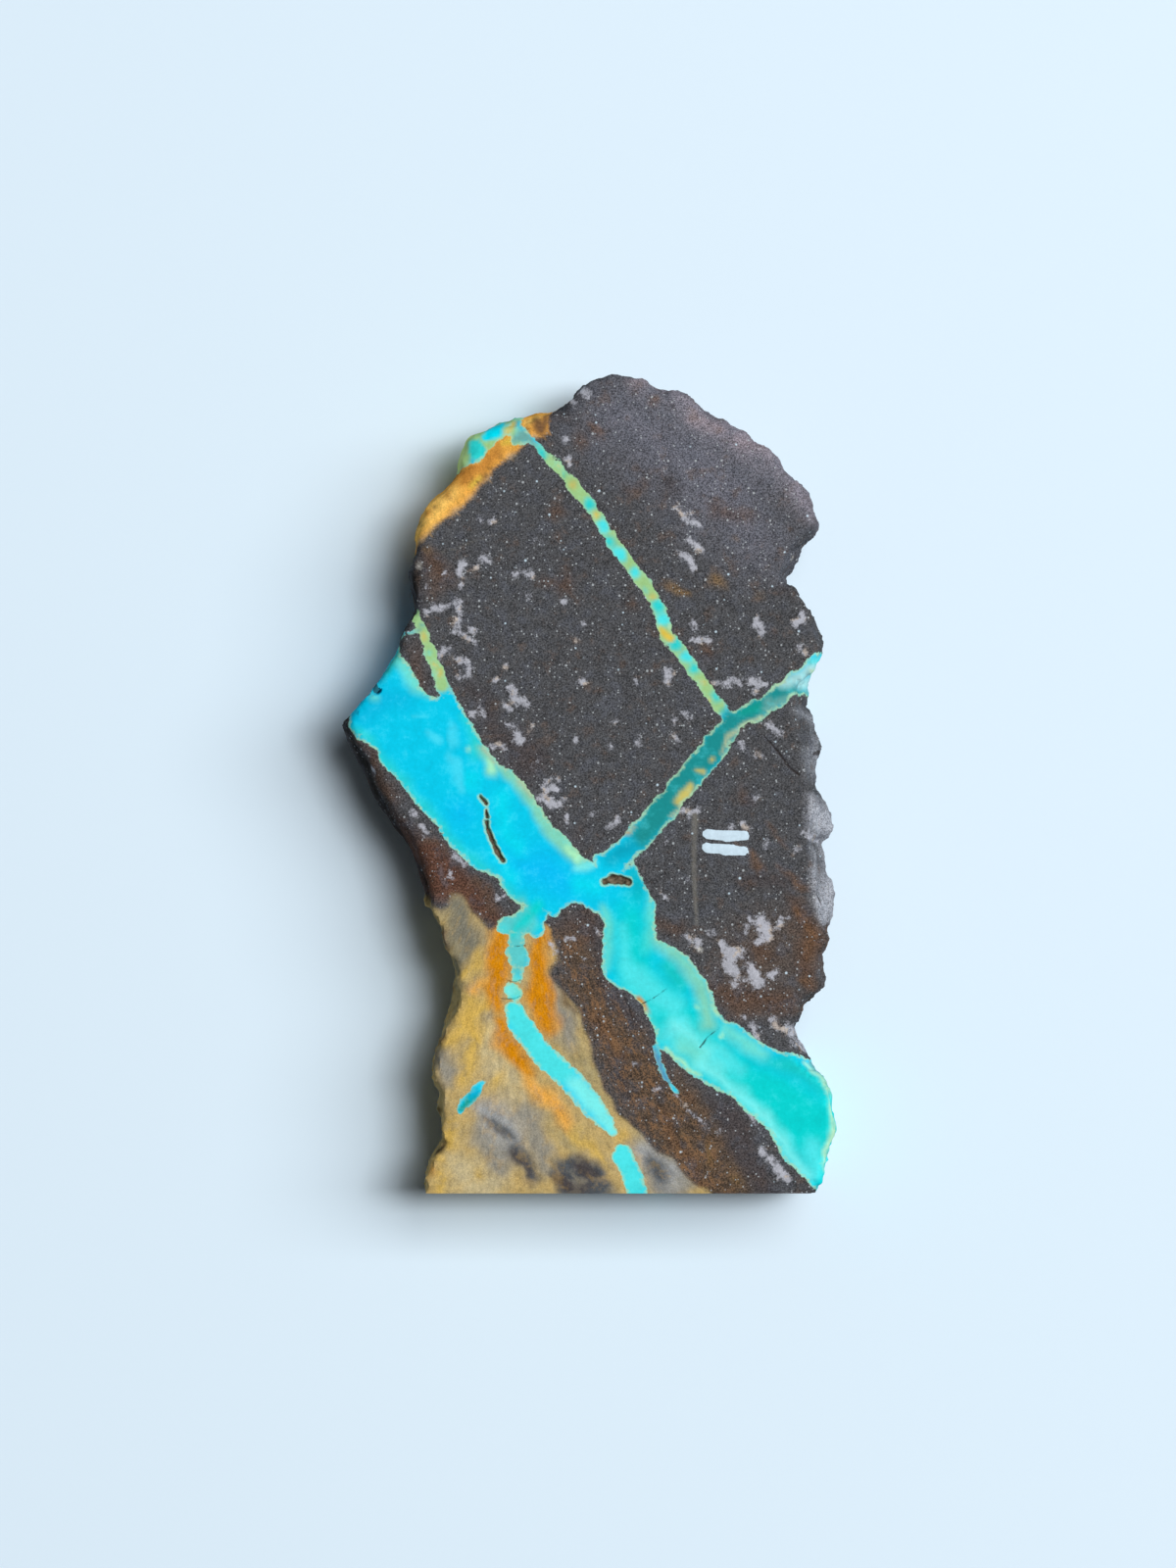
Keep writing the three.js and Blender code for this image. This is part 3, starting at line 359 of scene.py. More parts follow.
ROCK_TINTS = [
    ("blue rock", 6.0, [[(3.0, 38.0, 3.0), (9.0, 34.0, 3.5), (14.0, 30.0, 3.5), (17.0, 25.0, 2.0)]]),
    # Lilac along the upper right rim: partly the rock's own purplish tone, and partly painted light, made paler where
    # the face rounds off toward the lamps.
    ("lilac with painted light", 2.2, [[(6.0, 41.2, 0.4), (10.2, 39.4, 0.8), (12.4, 37.2, 1.0), (16.6, 35.2, 1.6),
                     (19.4, 33.4, 1.8), (21.6, 30.6, 1.2), (22.8, 28.0, 0.6)]]),
    ("warm rock", 4.0, [[(18.0, -18.0, 4.0), (22.0, -16.0, 2.0)]]),
    ("rose", 1.2, [[(4.8, 41.5, 0.3), (6.4, 41.3, 0.3)], [(11.6, 37.6, 0.5), (13.4, 36.8, 0.4)],
                   [(15.4, 35.3, 0.4), (18.0, 34.2, 0.4)]]),
    ("charcoal", 1.4, [[(-4.2, 37.2, 0.6), (-2.6, 37.6, 0.4)], [(-12.0, 9.6, 0.5), (-6.0, 2.0, 1.2)],
                       [(-1.0, -5.4, 0.4)], [(20.2, 20.4, 0.5)], [(-17.4, 23.6, 0.3), (-17.4, 19.0, 0.4)],
                       [(16.6, -9.6, 1.2), (20.0, -10.6, 0.8)], [(8.2, 30.2, 0.8)]]),
    # Grey on the broken slopes at the right: partly their own paler colour, and partly painted light where they face
    # the lamps.
    ("dim grey", 0.9, [[(21.6, 8.0, 0.4), (22.2, 6.6, 0.6), (23.2, 5.0, 0.9), (23.0, 3.2, 0.9), (22.6, 1.4, 0.6)]]),
    ("grey", 0.7, [
                   [(22.6, -1.2, 0.3), (23.8, -3.0, 1.1), (23.6, -5.0, 1.1), (23.2, -7.4, 0.8),
                    (23.8, -9.6, 1.0), (24.0, -12.0, 0.8), (24.4, -14.4, 0.4)]]),
    ("brown", 1.2, [[(-1.0, 35.3, 0.4)], [(0.5, 36.8, 0.3)], [(-2.6, 28.2, 0.5), (-3.0, 27.4, 0.3)],
                    [(-16.2, 22.6, 0.8), (-15.4, 21.0, 0.8)], [(-2.4, 21.3, 0.5), (-4.4, 21.0, 0.2)],
                    [(4.0, 30.0, 0.15), (5.6, 30.4, 0.1)], [(12.0, 13.7, 0.4)], [(15.7, -1.4, 0.4)],
                    [(6.4, -14.4, 0.2), (8.8, -15.2, 0.4)], [(13.0, -20.4, 0.6), (16.0, -22.6, 1.0), (20.0, -22.6, 0.8)],
                    [(21.4, -12.4, 0.4), (22.6, -16.0, 0.8), (22.6, -19.6, 0.9)], [(18.2, -17.6, 0.8)],
                    [(4.6, 19.0, 0.2)], [(13.2, 28.0, 0.3), (16.4, 27.2, 0.2)], [(-15.6, 20.0, 0.4)]]),
    ("rust", 0.5, [[(-3.3, 24.7, 0.2)], [(6.4, 39.0, 0.1)], [(12.1, 13.6, 0.1)], [(18.6, 15.6, 0.1)],
                   [(16.8, -6.9, 0.12), (17.8, -8.2, 0.16)], [(18.6, -4.4, 0.02), (20.1, -6.0, 0.06)],
                   [(19.9, -8.8, 0.1), (22.0, -10.4, 0.2)], [(21.4, -20.3, 0.2), (22.6, -19.8, 0.1)],
                   [(21.6, -13.6, 0.3), (23.0, -17.6, 0.2)], [(0.2, 36.9, 0.1), (1.2, 36.3, 0.06)]]),
    ("ochre brown", 0.6, [[(13.2, 20.8, 0.4)], [(8.6, 20.2, 0.2), (10.4, 19.7, 0.3)], [(14.9, 25.1, 0.1)],
                          [(17.4, 19.4, 0.2)], [(-16.8, 23.4, 0.1), (-16.2, 23.8, 0.1)]]),
    ("brown", 1.6, [[(-22.6, 2.6, 0.6), (-20.4, -1.2, 0.8)], [(-18.0, 13.2, 0.3), (-16.8, 10.6, 0.4)],
                    [(-2.4, -14.4, 0.8), (0.2, -15.2, 0.8)]]),
    ("chocolate", 1.2, [[(-20.8, -3.4, 0.6), (-18.4, -6.4, 1.6), (-16.2, -9.6, 2.0), (-12.0, -11.4, 1.4),
                         (-9.2, -13.0, 0.8)]]),
    ("chocolate", 1.0, [[(-16.8, -8.0, 1.4), (-12.4, -11.6, 1.2)]]),
    ("brown", 0.6, [[(-11.2, -10.0, 0.4), (-9.6, -12.0, 0.5)], [(-16.6, -6.0, 0.2), (-14.6, -7.4, 0.3)]]),
    ("umber", 1.4, [[(-2.8, -15.0, 0.6), (-1.0, -19.0, 1.6), (2.6, -25.6, 2.2), (6.6, -32.0, 3.4),
                     (12.0, -38.0, 3.2), (14.0, -42.0, 2.6)]]),
    ("charcoal", 0.9, [[(0.6, -15.0, 0.6), (0.8, -19.0, 0.4), (2.6, -22.0, 0.9), (4.8, -24.8, 0.9)],
                       [(-3.2, -14.4, 0.3), (-0.6, -13.4, 0.5)], [(12.4, -32.0, 0.3), (14.8, -35.0, 1.4),
                       (16.6, -39.0, 1.6), (18.0, -42.0, 1.0)], [(3.0, -29.0, 0.7), (4.0, -32.6, 0.6)]]),
    ("rust", 0.9, [[(-2.4, -17.0, 0.1), (0.0, -16.4, 0.2)], [(0.4, -23.6, 0.1), (2.2, -26.6, 0.4)],
                   [(7.4, -33.4, 0.2), (9.8, -38.0, 0.4), (11.6, -41.4, 0.3)], [(10.4, -32.6, 0.2)],
                   [(3.8, -27.0, 0.1), (2.4, -28.6, 0.2)]]),
    ("ochre brown", 0.7, [[(12.6, -36.6, 0.2), (12.4, -38.4, 0.2)], [(14.2, -40.6, 0.2), (15.0, -41.6, 0.1)],
                          [(10.2, -35.4, 0.1)]]),
    # The next two strokes are painted shade: near black on the left side of the stone, which faces away from the
    # lamps.
    ("dark specks and painted shade", 0.5, [[(-17.8, 20.8, 0.4), (-18.0, 19.6, 0.4)]]),
    ("dark specks and painted shade", 0.7, [[(-25.6, 6.4, 0.7), (-24.9, 4.2, 0.6), (-23.6, 1.2, 0.7), (-22.2, -1.4, 0.7),
                    (-20.4, -4.4, 0.7), (-18.6, -7.0, 0.5), (-17.4, -10.0, 0.3)]]),
    ("white", 0.2, [[(24.1, -9.3, 0.3)], [(22.8, 2.5, 0.2)], [(11.0, -17.2, 0.1)], [(22.4, 9.8, 0.12)],
                    [(-16.8, -12.1, 0.12), (-16.7, -12.6, 0.1)], [(20.4, 23.4, 0.06), (21.0, 24.0, 0.08)],
                    [(20.2, 22.4, 0.1)], [(-17.9, 21.7, 0.08)]]),
]
GROUND_TINTS = [
    ("straw", 1.6, [[(-14.6, -12.8, 0.6), (-14.0, -15.6, 1.0), (-13.0, -18.4, 1.4), (-12.6, -22.0, 1.0)],
                    [(-3.0, -23.0, 1.0), (-1.2, -27.6, 1.4), (0.8, -31.4, 1.2)],
                    [(5.4, -36.4, 0.6), (8.6, -40.0, 1.2)]]),
    ("lichen", 1.2, [[(-15.6, -11.8, 0.6), (-13.2, -12.4, 1.2), (-12.8, -14.6, 1.8), (-12.4, -16.4, 1.2),
                      (-13.4, -18.2, 0.7)]]),
    ("stone", 1.0, [[(-3.6, -20.6, 0.6), (-3.0, -23.4, 1.2), (-2.0, -26.0, 0.8)],
                    [(-15.0, -28.0, 1.0), (-14.0, -29.6, 1.2)], [(6.4, -37.6, 1.0), (8.6, -41.4, 1.8)],
                    [(-6.6, -33.4, 1.2), (-5.0, -36.6, 1.2), (-4.2, -38.6, 0.8)],
                    [(-10.4, -36.0, 1.4), (-8.6, -38.6, 1.4)], [(-12.6, -25.0, 0.6), (-10.8, -24.4, 0.4)]]),
    ("tan", 1.3, [[(-10.2, -26.0, 1.2), (-10.0, -28.4, 1.2), (-7.6, -31.4, 1.0)],
                  [(-13.4, -39.6, 1.8), (-10.0, -41.2, 1.6)]]),
    ("gold", 0.9, [[(-12.4, -22.6, 0.6), (-11.4, -26.4, 0.9)]]),
    ("straw", 1.2, [[(-3.4, -34.2, 0.6), (-1.0, -36.4, 0.8)]]),
    ("gold", 0.9, [[(-14.8, -26.6, 0.4), (-13.0, -25.0, 0.6), (-10.6, -22.8, 0.5)],
                   [(-12.4, -30.4, 0.4), (-12.0, -27.4, 0.5)], [(-9.2, -30.6, 0.4)],
                   [(-14.4, -36.6, 0.6), (-13.8, -34.4, 0.5)], [(-1.4, -35.6, 0.3), (0.8, -37.2, 0.4), (1.6, -38.6, 0.3)],
                   [(-11.4, -17.4, 0.5), (-12.6, -19.4, 0.4)], [(3.4, -35.9, 0.3)],
                   [(-14.8, -41.6, 0.5), (-15.2, -38.6, 0.4)], [(-11.0, -39.8, 0.4)]]),
    ("orange", 0.8, [[(-9.2, -15.4, 1.1), (-9.4, -18.0, 1.2), (-9.6, -20.6, 1.2), (-9.4, -22.8, 0.9)],
                     [(-4.8, -15.6, 0.8), (-5.2, -17.6, 1.2), (-5.0, -20.2, 1.3), (-4.8, -22.4, 1.1),
                      (-4.2, -24.8, 0.7)],
                     [(-9.0, -24.6, 0.8), (-7.8, -27.0, 1.0), (-6.0, -29.2, 0.9)]]),
    ("amber", 0.8, [[(-6.2, -30.4, 0.5), (-4.6, -32.0, 0.8), (-2.6, -34.0, 0.7), (-1.6, -35.0, 0.3)],
                    [(-12.0, -21.4, 0.4), (-11.0, -20.0, 0.4)], [(-16.0, -39.4, 0.2)]]),
    ("ash", 1.2, [[(-11.0, -33.2, 1.0), (-9.4, -33.9, 1.7), (-8.4, -35.6, 1.5), (-7.6, -37.2, 1.0)],
                  [(5.8, -37.4, 1.3), (7.6, -39.6, 1.9)]]),
    ("slate", 0.6, [[(-9.4, -34.6, 0.3), (-8.2, -36.2, 0.4)]]),
    ("slate", 0.7, [[(-7.4, -37.4, 0.6), (-6.3, -38.6, 0.9), (-5.6, -40.2, 0.9)],
                    [(-2.4, -39.6, 1.4), (-1.6, -41.4, 1.6), (0.8, -41.6, 1.6)],
                    [(-1.4, -38.6, 1.0), (0.6, -39.6, 1.2)], [(6.6, -38.6, 0.9), (7.2, -40.2, 1.0)]]),
    ("charcoal", 0.6, [[(-10.6, -34.2, 0.1), (-8.9, -36.0, 0.15)], [(-7.4, -38.0, 0.3), (-5.8, -40.0, 0.4)],
                       [(-3.0, -40.2, 0.8), (-0.6, -41.2, 0.9)], [(-0.4, -38.6, 0.7), (0.4, -40.0, 0.6)]]),
    ("brown", 0.6, [[(-15.4, -26.4, 0.3), (-15.2, -25.2, 0.2)], [(-16.4, -29.0, 0.1), (-15.8, -27.8, 0.2)],
                    [(-15.0, -14.6, 0.3), (-14.4, -16.4, 0.2)], [(-14.4, -20.8, 0.2)],
                    [(-2.6, -20.6, 0.2), (-1.4, -23.2, 0.2)]]),
    # Painted shade: near black in the hollows at the lower left corner.
    ("dark specks and painted shade", 0.5, [[(-15.8, -37.4, 0.5), (-15.0, -36.6, 0.2)], [(-15.6, -33.0, 0.2)]]),
]
STREAKED = [(-2.6, -16.0, 0.6), (-0.6, -20.0, 1.6), (2.8, -26.0, 2.4), (6.4, -32.0, 3.0), (10.6, -38.0, 3.0),
            (12.6, -43.0, 2.6)]
BAND_TINTS = [
    ("honey", 0.9, [[(-18.4, 25.4, 0.6), (-16.8, 27.0, 1.0), (-15.0, 28.8, 1.0), (-13.6, 29.8, 0.6)]]),
    ("ochre brown", 0.5, [[(-18.6, 27.0, 0.3), (-17.6, 26.9, 0.2)], [(-11.6, 30.6, 0.2), (-10.4, 31.6, 0.2)],
                          [(-9.0, 33.4, 0.15)]]),
    ("dark orange", 0.5, [[(-16.4, 27.8, 0.3)], [(-14.4, 29.6, 0.3)], [(-12.6, 31.0, 0.3)]]),
    ("rust", 0.3, [[(-17.2, 26.4, 0.1)], [(-15.8, 28.4, 0.1)], [(-14.0, 29.2, 0.1)], [(-12.0, 31.2, 0.12)],
                   [(-10.2, 33.4, 0.1)]]),
    ("dark orange", 0.9, [[(-14.4, 31.6, 0.6), (-12.6, 31.8, 0.8), (-10.6, 32.6, 0.7), (-9.2, 34.2, 0.5)]]),
    ("yellow", 0.4, [[(-12.0, 30.4, 0.2), (-11.0, 31.4, 0.15)], [(-8.0, 35.0, 0.3), (-8.6, 34.6, 0.2)]]),
    ("honey", 0.4, [[(-6.4, 37.0, 0.4), (-5.4, 37.4, 0.3)], [(-7.8, 36.4, 0.3)],
                    [(-13.4, 32.2, 0.08), (-11.0, 32.9, 0.06)]]),
    ("rust", 0.5, [[(-5.4, 37.0, 0.4), (-4.6, 36.2, 0.5), (-4.6, 37.6, 0.3)], [(-6.2, 36.2, 0.2)]]),
    ("dark specks and painted shade", 0.2, [[(-10.4, 31.6, 0.1)], [(-9.9, 32.3, 0.1)], [(-11.2, 30.9, 0.08)], [(-12.6, 29.3, 0.06)]]),
    ("stone", 0.45, [[(-17.4, 24.7, 0.15), (-15.6, 25.9, 0.2), (-12.8, 28.2, 0.2), (-10.8, 30.2, 0.2),
                      (-9.4, 31.9, 0.2), (-7.4, 33.5, 0.3)], [(-5.4, 35.4, 0.3)]]),
]


# ---------------------------------------------------------------- measuring the pattern

def curved(outline, steps=3):
    """The closed outline with a smooth curve through its points."""
    points = np.array(outline, float)
    before, after = np.roll(points, 1, 0), np.roll(points, -1, 0)
    beyond = np.roll(points, -2, 0)
    out = []
    for t in np.arange(steps) / steps:
        out.append(0.5 * (2 * points + (after - before) * t
                          + (2 * before - 5 * points + 4 * after - beyond) * t * t
                          + (3 * points - before - 3 * after + beyond) * t ** 3))
    return np.stack(out, 1).reshape(-1, 2)


def inside_distance(spots, outline):
    """Signed distance of spots to a closed outline, positive inside."""
    edge = curved(outline)
    nearest = np.full(len(spots), 1e9)
    inside = np.zeros(len(spots), bool)
    for a, b in zip(edge, np.roll(edge, -1, 0)):
        side = b - a
        share = np.clip(((spots - a) @ side) / max(side @ side, 1e-9), 0, 1)
        gap = spots - a - share[:, None] * side
        nearest = np.minimum(nearest, (gap ** 2).sum(1))
        crosses = (a[1] > spots[:, 1]) != (b[1] > spots[:, 1])
        if crosses.any():
            meet = a[0] + (spots[:, 1] - a[1]) * side[0] / (side[1] if side[1] else 1e-9)
            inside ^= crosses & (spots[:, 0] < meet)
    return np.where(inside, 1.0, -1.0) * np.sqrt(nearest)


def chain_distance(spots, chain):
    """Signed distance of spots to a chain of round spots, positive inside."""
    deepest = np.full(len(spots), -1e9)
    for first, second in zip(chain, chain[1:] or chain):
        a, b = np.array(first[:2]), np.array(second[:2])
        side = b - a
        share = np.clip(((spots - a) @ side) / max(side @ side, 1e-9), 0, 1)
        gap = spots - a - share[:, None] * side
        radius = first[2] + (second[2] - first[2]) * share
        deepest = np.maximum(deepest, radius - np.sqrt((gap ** 2).sum(1)))
    return deepest


def chains_distance(spots, chains):
    return np.max([chain_distance(spots, chain) for chain in chains], axis=0)


def soft_mask(distance, softness):
    """0 outside to 1 inside, over the softness on each side of the edge."""
    t = np.clip(0.5 + 0.5 * distance / softness, 0, 1)
    return t * t * (3 - 2 * t)


def laid_strokes(spots, base, strokes):
    """Linear colours at the spots: soft strokes laid one over the other on a base colour."""
    colours = np.tile(np.array(seen(*PALETTE[base])[:3]), (len(spots), 1))
    for name, softness, chains in strokes:
        share = soft_mask(chains_distance(spots, chains), softness)[:, None]
        colours += share * (np.array(seen(*PALETTE[name])[:3]) - colours)
    return colours


def wandered(spots, size_mm, reach_mm):
    """The spots moved about by smooth noise, which makes the edges of strokes uneven."""
    moves = [noise.noise_vector(Vector((x, y, 0)) / size_mm)[:2] for x, y in spots]
    return spots + reach_mm * np.array(moves)


# ---------------------------------------------------------------- mesh helpers

def deselect_all():
    for thing in list(bpy.context.selected_objects):
        thing.select_set(False)


def make_active(thing):
    deselect_all()
    thing.select_set(True)
    bpy.context.view_layer.objects.active = thing


def add_modifier(thing, name, kind, **settings):
    """Adds a modifier with these settings and applies it."""
    make_active(thing)
    modifier = thing.modifiers.new(name, kind)
    for key, value in settings.items():
        setattr(modifier, key, value)
    bpy.ops.object.modifier_apply(modifier=modifier.name)


def deselect_mesh(thing):
    make_active(thing)
    bpy.ops.object.mode_set(mode="EDIT")
    bpy.ops.mesh.select_mode(type="FACE")
    bpy.ops.mesh.select_all(action="DESELECT")
    bpy.ops.object.mode_set(mode="OBJECT")


def vertex_places(mesh):
    flat = np.empty(len(mesh.vertices) * 3)
    mesh.vertices.foreach_get("co", flat)
    return flat.reshape(-1, 3)


def vertex_normals(mesh):
    flat = np.empty(len(mesh.vertices) * 3, np.float32)
    mesh.vertex_normals.foreach_get("vector", flat)
    return flat.reshape(-1, 3).astype(float)


def set_places(mesh, places):
    mesh.vertices.foreach_set("co", places.ravel())
    mesh.update()


def set_group(thing, name, weights):
    """A vertex group with one weight for each vertex, in steps of a twentieth."""
    group = thing.vertex_groups.new(name=name)
    steps = np.round(weights * 20).astype(int)
    for step in range(1, 21):
        chosen = np.nonzero(steps == step)[0]
        if len(chosen):
            group.add(chosen.tolist(), step / 20, "REPLACE")
    return group


def set_attribute(mesh, name, values):
    """A number or a colour for each vertex."""
    if values.ndim == 1:
        attribute = mesh.attributes.new(name, "FLOAT", "POINT")
        attribute.data.foreach_set("value", values.astype(np.float32))
        return
    opaque = np.concatenate([values, np.ones((len(values), 1))], axis=1)
    attribute = mesh.attributes.new(name, "FLOAT_COLOR", "POINT")
    attribute.data.foreach_set("color", opaque.astype(np.float32).ravel())


# ---------------------------------------------------------------- material helpers

def srgb(red, green, blue):
    """A screen colour from 0 to 255 as the linear colour that Blender mixes."""
    def linear(value):
        value /= 255
        return value / 12.92 if value <= 0.04045 else ((value + 0.055) / 1.055) ** 2.4
    return (linear(red), linear(green), linear(blue), 1.0)


def seen(red, green, blue):
    """The colour a surface needs to look like this under the stage's light."""
    return tuple(value / LIGHT_LEVEL for value in srgb(red, green, blue)[:3]) + (1.0,)


class Graph:
    """A short way to write a material's nodes."""

    def __init__(self, name):
        self.material = bpy.data.materials.new(name)
        self.material.use_nodes = True
        self.tree = self.material.node_tree
        self.tree.nodes.clear()
        coordinates = self.tree.nodes.new("ShaderNodeTexCoord")
        self.place = coordinates.outputs["Object"]

    def node(self, kind, **settings):
        made = self.tree.nodes.new(kind)
        for key, value in settings.items():
            setattr(made, key, value)
        return made

    def put(self, socket, value):
        if isinstance(value, bpy.types.NodeSocket):
            self.tree.links.new(value, socket)
        else:
            socket.default_value = value

    def math(self, operation, first, second=0.0, clamp=False):
        made = self.node("ShaderNodeMath", operation=operation, use_clamp=clamp)
        self.put(made.inputs[0], first)
        self.put(made.inputs[1], second)
        return made.outputs[0]

    def add(self, first, second):
        return self.math("ADD", first, second)

    def times(self, first, second):
        return self.math("MULTIPLY", first, second)

    def most(self, first, second):
        return self.math("MAXIMUM", first, second)

    def step(self, value, low, high):
        """0 below low, 1 above high, smooth between. It runs down if low is above high."""
        made = self.node("ShaderNodeMapRange", interpolation_type="SMOOTHSTEP")
        self.put(made.inputs["Value"], value)
        self.put(made.inputs["From Min"], low)
        self.put(made.inputs["From Max"], high)
        return made.outputs["Result"]

    def mix(self, share, first, second):
        made = self.node("ShaderNodeMix", data_type="RGBA")
        self.put(made.inputs["Factor"], share)
        self.put(made.inputs[6], first)
        self.put(made.inputs[7], second)
        return made.outputs[2]

    def shade(self, colour, factor):
        """The colour made lighter or darker by a factor."""
        made = self.node("ShaderNodeVectorMath", operation="SCALE")
        self.put(made.inputs[0], colour[:3] if isinstance(colour, tuple) else colour)
        self.put(made.inputs["Scale"], factor)
        return made.outputs[0]

    def attribute(self, name, output="Fac"):
        return self.node("ShaderNodeAttribute", attribute_name=name).outputs[output]

    def channel(self, colour, number):
        made = self.node("ShaderNodeSeparateColor")
        self.put(made.inputs[0], colour)
        return made.outputs[number]

    def shifted(self, shift):
        made = self.node("ShaderNodeMapping")
        self.put(made.inputs["Vector"], self.place)
        made.inputs["Location"].default_value = (shift, shift * 0.7, -shift)
        return made.outputs["Vector"]

    def fanned(self, middle, spread, along):
        """Places for a pattern drawn out along lines that fan downwards from a middle."""
        parts = self.node("ShaderNodeSeparateXYZ")
        self.put(parts.inputs[0], self.place)
        across = self.add(parts.outputs[0], -middle[0] * MM)
        down = self.add(self.times(parts.outputs[1], -1.0), middle[1] * MM)
        turn = self.math("ARCTAN2", across, down)
        made = self.node("ShaderNodeCombineXYZ")
        self.put(made.inputs[0], self.times(turn, spread * MM))
        self.put(made.inputs[1], self.times(down, along))
        self.put(made.inputs[2], parts.outputs[2])
        return made.outputs[0]

    def noise(self, size_mm, detail=3.0, roughness=0.55, distortion=0.0, place=None, shift=0.0):
        """Cloudy noise about 0.5, whose lumps are about size_mm across."""
        if place is None:
            place = self.shifted(shift) if shift else self.place
        made = self.node("ShaderNodeTexNoise")
        self.put(made.inputs["Vector"], place)
        made.inputs["Scale"].default_value = 1 / (size_mm * MM)
        made.inputs["Detail"].default_value = detail
        made.inputs["Roughness"].default_value = roughness
        made.inputs["Distortion"].default_value = distortion
        return made.outputs["Fac"]

    def cells(self, size_mm, feature="F1", place=None):
        made = self.node("ShaderNodeTexVoronoi", feature=feature)
        self.put(made.inputs["Vector"], place or self.place)
        made.inputs["Scale"].default_value = 1 / (size_mm * MM)
        return made

    def bump(self, height, distance_mm, strength=1.0, normal=None):
        made = self.node("ShaderNodeBump")
        made.inputs["Strength"].default_value = strength
        made.inputs["Distance"].default_value = distance_mm * MM
        self.put(made.inputs["Height"], height)
        if normal is not None:
            self.put(made.inputs["Normal"], normal)
        return made.outputs["Normal"]

    def finish(self, colour, roughness, normal=None, specular=0.5, coat=0.0):
        shader = self.node("ShaderNodeBsdfPrincipled")
        self.put(shader.inputs["Base Color"], colour)
        self.put(shader.inputs["Roughness"], roughness)
        shader.inputs["Specular IOR Level"].default_value = specular
        if normal is not None:
            self.put(shader.inputs["Normal"], normal)
        output = self.node("ShaderNodeOutputMaterial")
        self.tree.links.new(shader.outputs["BSDF"], output.inputs["Surface"])
        return self.material


# ---------------------------------------------------------------- what a user may change

def colour_prop(name, description, rgb):
    return FloatVectorProperty(
        name=name, description=description, subtype="COLOR", size=4, min=0.0, max=1.0,
        default=seen(*rgb),
    )


class SlabSettings(bpy.types.PropertyGroup):
    """Sizes and colours of the stone."""

    voxel: FloatProperty(
        name="Detail size", description="Spacing of the points on the plain surfaces",
        default=0.55 * MM, min=0.3 * MM, unit="LENGTH",
    )
    break_depth: FloatProperty(
        name="Break depth", description="How deep the broken sides are broken up",
        default=0.8 * MM, unit="LENGTH",
    )
    pocket_depth: FloatProperty(
        name="Pocket depth", description="Depth of the open pockets in the vein",
        default=0.5 * MM, unit="LENGTH",
    )
    rim: colour_prop("Rim", "Thin pale rim of the veins", (176, 218, 178))
    flake: colour_prop("Flake", "Pale flakes in the turquoise", (90, 226, 240))
    bluish: colour_prop("Bluish rock", "Cooler parts of the rock", (88, 92, 102))
    fibre: colour_prop("Fibre", "Rusty streaks of the rock beside the ochre ground", (136, 103, 74))
    golden: colour_prop("Golden ground", "Warmer patches of the ochre ground", (206, 168, 92))
    greyish: colour_prop("Greyish ground", "Duller patches of the ochre ground", (150, 142, 122))
    crystal_cool: colour_prop("Bluish crystal", "Pale crystals in the rock", (178, 180, 190))
    crystal_warm: colour_prop("Cream crystal", "Warmer crystals in the rock", (188, 178, 170))
    # Pale grains of the rock, with painted glints: their sparkle is drawn as bright colour.
    pale_grain_and_glint: colour_prop("Spark", "Sparkling grains of the rock", (176, 182, 186))
    stain: colour_prop("Stain", "Faint rusty stains of the rock", (100, 82, 70))
    pocket: colour_prop("Pocket", "Dark lining of the pockets", (104, 92, 76))
    crack: colour_prop("Crack", "Cracks", (44, 38, 36))
    scratch: colour_prop("Scratch", "Scratches and the streak of glue", (142, 138, 128))
    paint: colour_prop("Paint", "The two strokes of paint", (206, 228, 242))


class StageSettings(bpy.types.PropertyGroup):
    """Floor, light and camera."""

    floor_size: FloatProperty(
        name="Floor size", description="Side of the square floor", default=6.0, unit="LENGTH",
    )
    lens: FloatProperty(
        name="Lens", description="Focal length of the camera", default=150.0, unit="CAMERA",
    )
    view_height: FloatProperty(
        name="View height", description="Height of the picture at the stone's face",
        default=160 * MM, unit="LENGTH",
    )
    floor: colour_prop("Floor", "Pale floor", (224, 242, 255))


# ---------------------------------------------------------------- the stone

def break_texture(name, kind, size_mm):
    texture = bpy.data.textures.new(name, kind)
    texture.noise_scale = size_mm * MM
    if kind == "VORONOI":
        texture.distance_metric = "DISTANCE_SQUARED"
    else:
        texture.noise_depth = 3
    return texture


def on_face(middles):
    return middles[:, 2] > TOP_MM - 0.1


def near_pattern(middles):
    """Where the pattern is fine: in the veins, the crusts, the ground and the crystals."""
    spots = middles[:, :2]
    near = chains_distance(spots, [BRANCH_VEIN, THIN_VEIN, SMALL_VEIN, SMALL_TWIG, BLUE_TWIG]) > -0.4
    near |= chains_distance(spots, CRYSTALS + STROKES + SCRATCHES) > -0.4
    near |= inside_distance(spots, MAIN_VEIN) > -0.3
    near |= inside_distance(spots, GROUND) > -0.5
    return near | (inside_distance(spots, BAND_CRUST) > -0.3)


